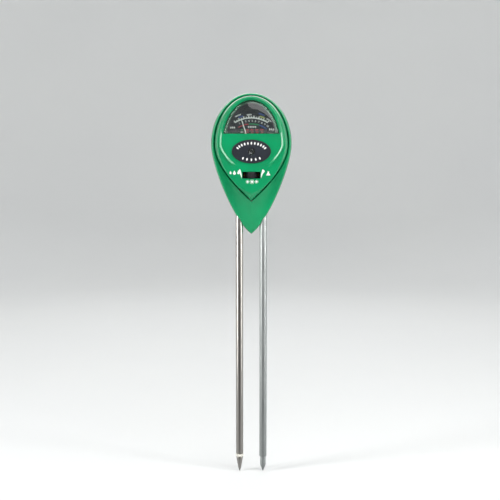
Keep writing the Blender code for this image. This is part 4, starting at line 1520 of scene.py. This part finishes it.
@dataclass
class DialPrint:
    """The marks on the dial: toothed scale, numbers, coloured band and small signs.

    A tick group is (radius, first angle, count, ink); angles are clockwise from upright.
    """

    TICKS = ((27.4, -25.5, 5, DialInk.WHITE), (25.8, -21.0, 4, DialInk.BLUE),
             (26.0, -6.5, 4, DialInk.WHITE), (27.4, 12.5, 5, DialInk.BLUE),
             (25.6, 15.5, 4, DialInk.YELLOW), (25.9, 27.0, 5, DialInk.WHITE))
    BANDS = ((DialInk.RED, -30.0, -6.3), (DialInk.GREEN, -5.7, 16.7), (DialInk.BLUE, 17.3, 36.0))

    shelf: FinishShelf
    scale_r: float = 23.6
    scale_width: float = 0.85
    scale_end: float = 31.0
    tooth: float = 1.3
    teeth: int = 14
    numbers_r: float = 21.4
    number_height: float = 1.35
    first_number: float = -24.0
    numbers_turn: float = 58.0
    band_r: float = 19.2
    band_width: float = 0.62
    row_z: float = 262.7
    row_drop: float = 1.5
    tick_width: float = 0.66
    tick_pitch: float = 2.0
    centre: Flat = field(init=False)
    layers: dict[DialInk, PrintLayer] = field(init=False)

    def build(self) -> None:
        """Print every layer on the dial."""
        surface = span("dial_plate")[0].y
        pivot = middle("front_pivot")
        self.centre = (pivot.x, pivot.z)
        self.layers = {ink: PrintLayer(f"dial_marks_{ink.name.lower()}", surface, ink.value)
                       for ink in DialInk}
        self.print_scale(self.layers[DialInk.WHITE])
        self.print_band()
        self.print_signs(self.layers[DialInk.WHITE])
        self.print_rows()
        for layer in self.layers.values():
            layer.finish_layer(self.shelf)

    def print_scale(self, white: PrintLayer) -> None:
        """Print the thick toothed arc and the row of numbers under it.

        Args:
            white: the white layer.
        """
        inner = self.scale_r - self.scale_width / 2
        outer = self.scale_r + self.scale_width / 2
        white.band(self.centre, inner, outer, -self.scale_end, self.scale_end, 48)
        for number in range(self.teeth + 1):
            turn = self.scale_end * (2 * number / self.teeth - 1)
            half, reach = (0.7, self.tooth * 0.6) if number % 2 else (0.95, self.tooth)
            white.band(self.centre, outer - 0.02, outer + reach, turn - half, turn + half, 2)
        for number in range(1, 11):
            turn = self.first_number + self.numbers_turn * (number - 1) / 9
            white.text(str(number), polar(self.centre, self.numbers_r, turn),
                       self.number_height, turn)

    def print_band(self) -> None:
        """The coloured band: red for dry, green for right, blue for wet."""
        inner = self.band_r - self.band_width / 2
        outer = self.band_r + self.band_width / 2
        for ink, start, end in self.BANDS:
            self.layers[ink].band(self.centre, inner, outer, start, end, 20)

    def print_signs(self, white: PrintLayer) -> None:
        """Print leaves at the dry end and in the middle, and drops at the wet end.

        Args:
            white: the white layer.
        """
        for x in (-15.5, -14.1, -12.7):
            white.shape(placed(leaf(1.8, 1.15, 4), (x, 264.6)))
        for x in (13.7, 15.2, 16.7):
            white.shape(placed(droplet(1.9), (x, 263.5)))
        for step in range(5):
            white.shape(placed(leaf(1.7, 0.95), (-2.1 + 1.3 * step, 265.0)))

    def print_rows(self) -> None:
        """The rows of bars at the sill and the small ticks round the scale."""
        lower = self.row_z - self.row_drop
        for x in (-3.0, 0.4, 4.0, 7.7):
            self.bar(DialInk.RED, (x, self.row_z), 2.4, 0.75)
            self.bar(DialInk.RED, (x + 0.3, lower), 1.9, 0.4)
        self.bar(DialInk.GREEN, (-6.9, self.row_z), 1.1, 0.75)
        self.bar(DialInk.WHITE, (-6.9, lower), 2.0, 0.35)
        for radius, start, count, ink in self.TICKS:
            for step in range(count):
                turn = start + self.tick_pitch * step
                self.bar(ink, polar(self.centre, radius, turn), self.tick_width, 1.0, turn)

    def bar(
        self, ink: DialInk, at: Flat, width: float, height: float, turn: float = 0.0
    ) -> None:
        """Print a bar about a point.

        Args:
            ink: its ink.
            at: (x, z) of its middle.
            width: in mm.
            height: in mm.
            turn: degrees clockwise.
        """
        half, tall = width / 2, height / 2
        corners = [(-half, -tall), (half, -tall), (half, tall), (-half, tall)]
        self.layers[ink].shape(placed(corners, at, turn))


@dataclass
class FaceLabel:
    """The oval black label with its leaf ornament, and the light window in its middle."""

    # Each arc of leaves: how many, its first and last angle, and the leaves' length.
    ARCS = ((11, -66.0, 66.0, 2.3), (5, 214.0, 146.0, 2.2))

    shelf: FinishShelf
    edge_round: float = 0.18
    hole_r: float = 2.7
    rim_points: int = 96
    leaf_width: float = 1.15
    margin_x: float = 3.3
    margin_z: float = 2.6
    eye_r: float = 2.35
    eye_flange: float = 0.65
    eye_dish: float = 0.5

    def build(self) -> None:
        """Model the label, its ornament and the light window."""
        low, high = span("face_label")
        at = middle("face_label")
        half_width, half_height = (high.x - low.x) / 2, (high.z - low.z) / 2
        soft, hole = self.edge_round, self.hole_r

        def loop(wide: float, tall: float, y: float) -> list[Point]:
            """Give an oval round the label's middle."""
            return ring([(at.x + x, at.z + z) for x, z in oval(wide, tall, self.rim_points)], y)

        skin = Skin("face_label_foil", loop(half_width, half_height, high.y))
        skin.draw(loop(half_width, half_height, low.y + soft))
        skin.draw(loop(half_width - soft, half_height - soft, low.y))
        skin.draw(loop(hole + soft, hole + soft, low.y))
        skin.draw(loop(hole, hole, low.y + soft))
        skin.draw(loop(hole, hole, high.y))
        label = skin.close(ends=False)
        shade(label, 30.0)
        self.shelf.install(label, "face_label", BLACK_FOIL, "label_black")
        self.print_leaves(at, low.y, half_width - self.margin_x, half_height - self.margin_z)
        self.build_eye()

    def print_leaves(self, at: Vector, surface: float, reach_x: float, reach_z: float) -> None:
        """Print two arcs of small leaves that follow the oval, one above and one below.

        Args:
            at: the label's middle.
            surface: the y of its front.
            reach_x: half the width of the leaves' oval.
            reach_z: half its height.
        """
        white = PrintLayer("label_leaves", surface, WHITE_INK_AND_HIGHLIGHT)
        for count, start, end, length in self.ARCS:
            for step in range(count):
                turn = start + (end - start) * step / (count - 1)
                angle = math.radians(turn)
                spot = (at.x + reach_x * math.sin(angle), at.z + reach_z * math.cos(angle))
                lean = math.degrees(math.atan2(math.sin(angle) / reach_x,
                                               math.cos(angle) / reach_z))
                white.shape(placed(leaf(length, self.leaf_width), spot, lean))
        white.finish_layer(self.shelf)

    def build_eye(self) -> None:
        """The round light window: a flanged clear button with a dished front."""
        low, high = span("light_window")
        at = middle("light_window")
        front, flange_front = low.y, high.y - self.eye_flange
        profile = [(0.2 * step, front + self.eye_dish - 0.0052 * step * step)
                   for step in range(10)]
        profile += [(1.95, front + 0.03), (2.05, front), (2.2, front + 0.04),
                    (self.eye_r, front + 0.2), (self.eye_r, flange_front),
                    (high.x, flange_front), (high.x, high.y), (0.0, high.y)]
        eye = turned("light_window_button", profile, (at.x, at.z), along=Axis.Y, steps=48)
        shade(eye, 35.0)
        self.shelf.install(eye, "light_window", CLEAR_PS, "clear_window")


@dataclass
class SlideSwitch:
    """The ribbed slider knob, the signs printed round its slot, and two painted highlights beside
    it.
    """

    form: HeadForm
    shelf: FinishShelf
    ribs: int = 5
    half_width: float = 2.7
    half_height: float = 2.1
    shoulder_y: float = -11.8
    groove_r: float = 0.3
    carriage_half_width: float = 4.2
    carriage_half_height: float = 2.5

    def build(self) -> None:
        """Model the knob, print the signs and paint the two highlights beside the slot."""
        low, high = span("switch_knob")
        at = middle("switch_knob")
        half, tall, front = self.half_width, self.half_height, low.y
        knob = block("switch_knob_moulding", (at.x - half, front, at.z - tall),
                     (at.x + half, self.shoulder_y, at.z + tall))
        pitch = 2 * half / (self.ribs + 0.4)
        groove = [(0.0, at.z - 4.0), (self.groove_r, at.z - 4.0), (self.groove_r, at.z + 4.0),
                  (0.0, at.z + 4.0)]
        grooves = []
        for number in range(self.ribs - 1):
            x = at.x + (number - (self.ribs - 2) / 2) * pitch
            grooves.append(turned("groove", soften(groove, 0.01), (x, front), steps=16))
        carve(knob, grooves, Carve.CUT)
        broad, deep = self.carriage_half_width, self.carriage_half_height
        neck = block("neck", (at.x - 1.7, -12.3, at.z - 1.0), (at.x + 1.7, -10.0, at.z + 1.0))
        carriage = block("carriage", (at.x - broad, -10.4, at.z - deep),
                         (at.x + broad, high.y, at.z + deep))
        carve(knob, [neck, carriage], Carve.JOIN)
        round_edges(knob, 0.14, lambda spot: spot.y < self.shoulder_y + 0.1, sharper=50)
        shade(knob, 35.0, weighted=True)
        self.shelf.install(knob, "switch_knob", BLACK_ABS, "switch_black", body="switch_slider")
        self.print_signs(at)

    def print_signs(self, at: Vector) -> None:
        """Print drops for moisture, suns for light, a flask for acidity, and two white wedges at
        the slot's ends that are painted highlights.

        Args:
            at: the knob's middle.
        """
        white = PrintLayer("switch_signs_and_painted_highlights", self.form.face_y, WHITE_INK_AND_HIGHLIGHT)
        for x, size in ((-15.3, 2.4), (-12.4, 3.1), (-9.6, 2.4)):
            white.shape(placed(droplet(size), (x, at.z + 1.9)))
        ray = [(-0.2, 1.1), (0.2, 1.1), (0.14, 1.7), (-0.14, 1.7)]
        for x, size in ((-3.3, 0.8), (0.0, 1.0), (3.3, 0.8)):
            sun = (at.x + 0.5 + x, at.z - 4.8)
            white.shape(placed(oval(0.85, 0.85), sun, scale=size))
            for turn in range(0, 360, 45):
                white.shape(placed(placed(ray, (0.0, 0.0), turn, size), sun))
        # Two white wedges beside the slot's ends: painted highlights of light caught there,
        # printed in white.
        highlight_wedge = ((7.0, -2.4), (7.1, 0.6), (8.3, 4.4), (9.9, 2.9), (8.3, 0.7))
        for side in Side:
            white.shape([(side.value * x, at.z + z) for x, z in highlight_wedge])
        flask = [(-1.5, -1.4), (1.5, -1.4), (1.35, -0.9), (0.45, 0.5), (0.45, 1.2), (0.7, 1.2),
                 (0.7, 1.45), (-0.7, 1.45), (-0.7, 1.2), (-0.45, 1.2), (-0.45, 0.5), (-1.35, -0.9)]
        white.shape(placed(flask, (at.x + 12.4, at.z + 1.2)))
        white.finish_layer(self.shelf)


@dataclass
class Probes:
    """The two metal probes with their points, and the insulating collar."""

    shelf: FinishShelf
    stud_r: float = 1.5
    spigot_r: float = 1.2
    bore_play: float = 0.3
    bore_top: float = 18.4
    tip_length: float = 12.0
    collar_round: float = 0.3

    def build(self) -> None:
        """Turn both rods, both points and the collar."""
        for side, finish, slot in ((Side.LEFT, BRIGHT_NICKEL, "probe_nickel"),
                                   (Side.RIGHT, DRAWN_ALUMINIUM, "probe_aluminium")):
            self.build_rod(side, finish, slot)
            self.build_tip(side, finish, slot)
        self.build_collar()

    def give(self, piece: bpy.types.Object, node: str, finish: Finish, slot: str) -> None:
        """Finish a turned piece and let it stand for its node."""
        shade(piece, 30.0)
        self.shelf.install(piece, node, finish, slot)

    def build_rod(self, side: Side, finish: Finish, slot: str) -> None:
        """Turn one rod, with its stud above and the bore for its point's spigot below.

        Args:
            side: which rod.
            finish: its metal.
            slot: its material slot's name.
        """
        node = f"probe_{side.name.lower()}"
        low, high = span(node)
        at = middle(node)
        radius = (high.x - low.x) / 2
        shoulder = span("probe_holder")[0].z - 0.3
        bore, bore_top = self.spigot_r + self.bore_play, self.bore_top
        outer = [(0.0, high.z), (self.stud_r, high.z), (self.stud_r, shoulder),
                 (radius, shoulder), (radius, 100.0), (radius, low.z), (bore, low.z),
                 (bore, bore_top), (0.0, bore_top)]
        piece = turned(f"{node}_rod", soften(outer, 0.25), (at.x, at.y))
        self.give(piece, node, finish, slot)

    def build_tip(self, side: Side, finish: Finish, slot: str) -> None:
        """Turn one point with its spigot: a long taper on the left, a plain cone on the right.

        Args:
            side: which point.
            finish: its metal.
            slot: its material slot's name.
        """
        node = f"probe_tip_{side.name.lower()}"
        low, high = span(node)
        at = middle(node)
        root = low.z + self.tip_length
        cones = {
            Side.LEFT: [(2.45, root), (2.45, root - 1.2), (1.15, 3.0), (0.0, 0.0)],
            Side.RIGHT: [(2.15, root), (2.15, 5.4), (0.0, 0.0)],
        }
        spigot = [(0.0, high.z), (self.spigot_r, high.z), (self.spigot_r, root)]
        piece = turned(f"{node}_cone", soften(spigot + cones[side], 0.3), (at.x, at.y))
        self.give(piece, node, finish, slot)

    def build_collar(self) -> None:
        """The moulded collar between the left rod and its point."""
        low, high = span("tip_collar_left")
        at = middle("tip_collar_left")
        radius, bore = (high.x - low.x) / 2, self.spigot_r + self.bore_play
        soft = self.collar_round
        loop = [(radius - soft, high.z), (radius - 0.09, high.z - 0.09), (radius, high.z - soft),
                (radius, low.z + soft), (radius - 0.09, low.z + 0.09), (radius - soft, low.z),
                (bore, low.z), (bore, high.z)]
        piece = turned("tip_collar_moulding", loop, (at.x, at.y), closed=True)
        self.give(piece, "tip_collar_left", NATURAL_NYLON, "white_moulding")


class Movement:
    """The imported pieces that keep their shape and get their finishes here."""

    FINISHES: dict[Finish, tuple[str, ...]] = {
        DIAL_LACQUER: ("dial_plate",),
        WHITE_ENAMEL: ("pointer",),
        NATURAL_NYLON: ("movement_frame", "probe_holder"),
        ZINC_STEEL: ("dial_screw_left", "dial_screw_right", "movement_screw_left",
                     "movement_screw_right", "bridge_screw_left", "bridge_screw_right",
                     "switch_screw_left", "switch_screw_right", "front_bridge",
                     "front_pivot", "rear_pivot"),
        # The switch's can is dark as painted shade in the slot.
        SLOT_SHADE_STEEL: ("switch_can",),
        SOFT_IRON: ("yoke_ring",),
        MAGNET_ALLOY: ("core_magnet",),
        TURNED_BRASS: ("front_jewel_screw", "rear_jewel_screw", "pointer_weight",
                       "probe_tag_left", "probe_tag_right", "probe_nut_left",
                       "probe_nut_right", "switch_terminal_1", "switch_terminal_2",
                       "switch_terminal_3", "switch_terminal_4"),
        SPRING_BRONZE: ("front_hairspring", "rear_hairspring", "switch_wiper"),
        COPPER_WINDING: ("coil_winding",),
        SHEET_ALUMINIUM: ("coil_former", "core_spacer_upper", "core_spacer_lower"),
        PHENOLIC: ("switch_board",),
        LIGHT_CELL: ("photocell",),
        BUFF_LACQUER: ("moisture_resistor",),
        RED_PVC: ("probe_wire", "meter_wire"),
        BLACK_PVC: ("cell_wire_minus", "common_wire"),
        GREEN_PVC: ("resistor_wire",),
        YELLOW_PVC: ("cell_wire_plus",),
    }

    def __init__(self, frame: dict, shelf: FinishShelf) -> None:
        """Keep the loaded frame and the shelf of finishes."""
        self.nodes = frame["nodes"]
        self.shelf = shelf

    def dress(self) -> None:
        """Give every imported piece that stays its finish."""
        for finish, names in self.FINISHES.items():
            material = self.shelf.take(finish)
            for name in names:
                for slot in self.nodes[name].material_slots:
                    slot.material = material
            log.info("%s: %s", finish.name, ", ".join(names))


# ---------------------------------------------------------------- studio


@dataclass(frozen=True)
class Softbox:
    """One large soft light that looks at the meter."""

    name: str
    place: Point
    width: float
    height: float
    power: float
    mirrored: bool = True

    def build(self, target: Vector) -> None:
        """Add the light.

        Args:
            target: what it looks at.
        """
        bpy.ops.object.select_all(action="DESELECT")
        bpy.ops.object.light_add(type="AREA", location=self.place)
        lamp = bpy.context.object
        lamp.name = self.name
        lamp.data.shape = "RECTANGLE"
        lamp.data.size = self.width
        lamp.data.size_y = self.height
        lamp.data.energy = self.power
        lamp.rotation_euler = (target - Vector(self.place)).to_track_quat("-Z", "Y").to_euler()
        lamp.visible_camera = False
        lamp.visible_glossy = self.mirrored
        lamp.visible_transmission = False  # the clear window doesn't show it through itself


@dataclass
class Studio:
    """A pale round sweep, soft lights and the camera.

    Upright strips at the sides draw the lines on the bead, and the wide softbox above draws the
    pale patch in the window. The ceiling only fills and isn't mirrored.
    """

    LAMPS = (
        Softbox("softbox_left", (-0.66, -0.27, 0.42), 0.15, 1.15, 4.2),
        Softbox("softbox_right", (0.62, -0.26, 0.42), 0.11, 1.15, 2.3),
        Softbox("softbox_top", (0.24, -0.60, 0.79), 0.74, 0.76, 4.0),
        Softbox("softbox_front", (0.52, -0.45, 0.48), 0.30, 0.50, 0.8),
        Softbox("softbox_rear", (0.0, 0.75, 0.70), 1.2, 0.4, 2.4),
        Softbox("ceiling", (0.0, 0.01, 2.1), 2.4, 2.4, 4.0, mirrored=False),
    )

    camera_place: Point = (-0.001, -0.730, 0.264)
    aim: Point = (-0.001, 0.0, 0.1729)
    lens_mm: float = 70.2
    floor_radius: float = 0.9
    sweep_radius: float = 0.6
    wall_top: float = 1.7
    sweep_steps: int = 10

    def build(self) -> None:
        """Make the camera, the lights, the sweep and the surrounding light."""
        self.add_camera()
        self.add_floor()
        target = Vector((0.0, 0.0, 0.2))
        for box in self.LAMPS:
            box.build(target)
        self.light_room()
        bpy.context.scene.view_settings.view_transform = "Standard"

    def add_camera(self) -> None:
        """A camera a little above the head's level, looking slightly down."""
        bpy.ops.object.camera_add(location=self.camera_place)
        camera = bpy.context.object
        camera.name = "portrait_camera"
        camera.data.sensor_width = 36.0
        camera.data.lens = self.lens_mm
        line = Vector(self.aim) - Vector(self.camera_place)
        camera.rotation_euler = line.to_track_quat("-Z", "Y").to_euler()
        bpy.context.scene.camera = camera

    def add_floor(self) -> None:
        """A pale round floor that curves up into a wall, spun from its profile."""
        bpy.ops.object.select_all(action="DESELECT")
        profile = [(0.0, 0.0), (0.4, 0.0), (self.floor_radius, 0.0)]
        for step in range(1, self.sweep_steps + 1):
            angle = 0.5 * math.pi * step / self.sweep_steps
            profile.append((self.floor_radius + self.sweep_radius * math.sin(angle),
                            self.sweep_radius * (1 - math.cos(angle))))
        profile.append((self.floor_radius + self.sweep_radius, self.wall_top))
        sweep = turned("studio_sweep", [(r / MM, z / MM) for r, z in profile], (0.0, 0.0),
                       steps=96)
        select_only(sweep)
        bpy.ops.object.mode_set(mode="EDIT")
        bpy.ops.mesh.select_all(action="SELECT")
        bpy.ops.mesh.flip_normals()
        bpy.ops.object.mode_set(mode="OBJECT")
        shade(sweep, 60.0)
        sweep.visible_glossy = False
        paper = Printed("pale_backdrop_paper", "#E9EAE9", "#E5E6E6", 0.8, drift_mm=400.0,
                        grain_mm=2.0, grain_depth_mm=0.02)
        sweep.data.materials.append(paper.make())
        sweep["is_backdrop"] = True

    @staticmethod
    def light_room() -> None:
        """Pale light from all round, and a dark gap in front like a black card.

        The strength follows the direction's Y, from dark straight ahead to full at the sides.
        """
        world = bpy.data.worlds.new("studio_room")
        world.use_nodes = True
        tree = world.node_tree
        surround = tree.nodes["Background"]
        surround.inputs["Color"].default_value = linear("#F3F5F7")
        way = add_node(tree, "TexCoord").outputs["Generated"]
        parts = add_node(tree, "SeparateXYZ", links={"Vector": way})
        gap = add_node(
            tree, "MapRange",
            {"From Min": -0.92, "From Max": -0.7, "To Min": 0.04, "To Max": 0.42},
            {"Value": parts.outputs["Y"]},
        )
        tree.links.new(gap.outputs["Result"], surround.inputs["Strength"])
        bpy.context.scene.world = world


def main() -> None:
    """Load the frame, take the imported model's bounds and build every sub-assembly in order."""
    logging.basicConfig(level=logging.INFO, format="%(message)s")
    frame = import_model()
    packed = tuple(corner.copy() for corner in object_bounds())
    Studio().build()
    shelf = FinishShelf()
    form = HeadForm.from_frame()
    Case(form, shelf).build()
    DomedWindow(form, shelf).build()
    DialPrint(shelf).build()
    FaceLabel(shelf).build()
    SlideSwitch(form, shelf).build()
    Probes(shelf).build()
    Movement(frame, shelf).dress()


if __name__ == "__main__":
    main()
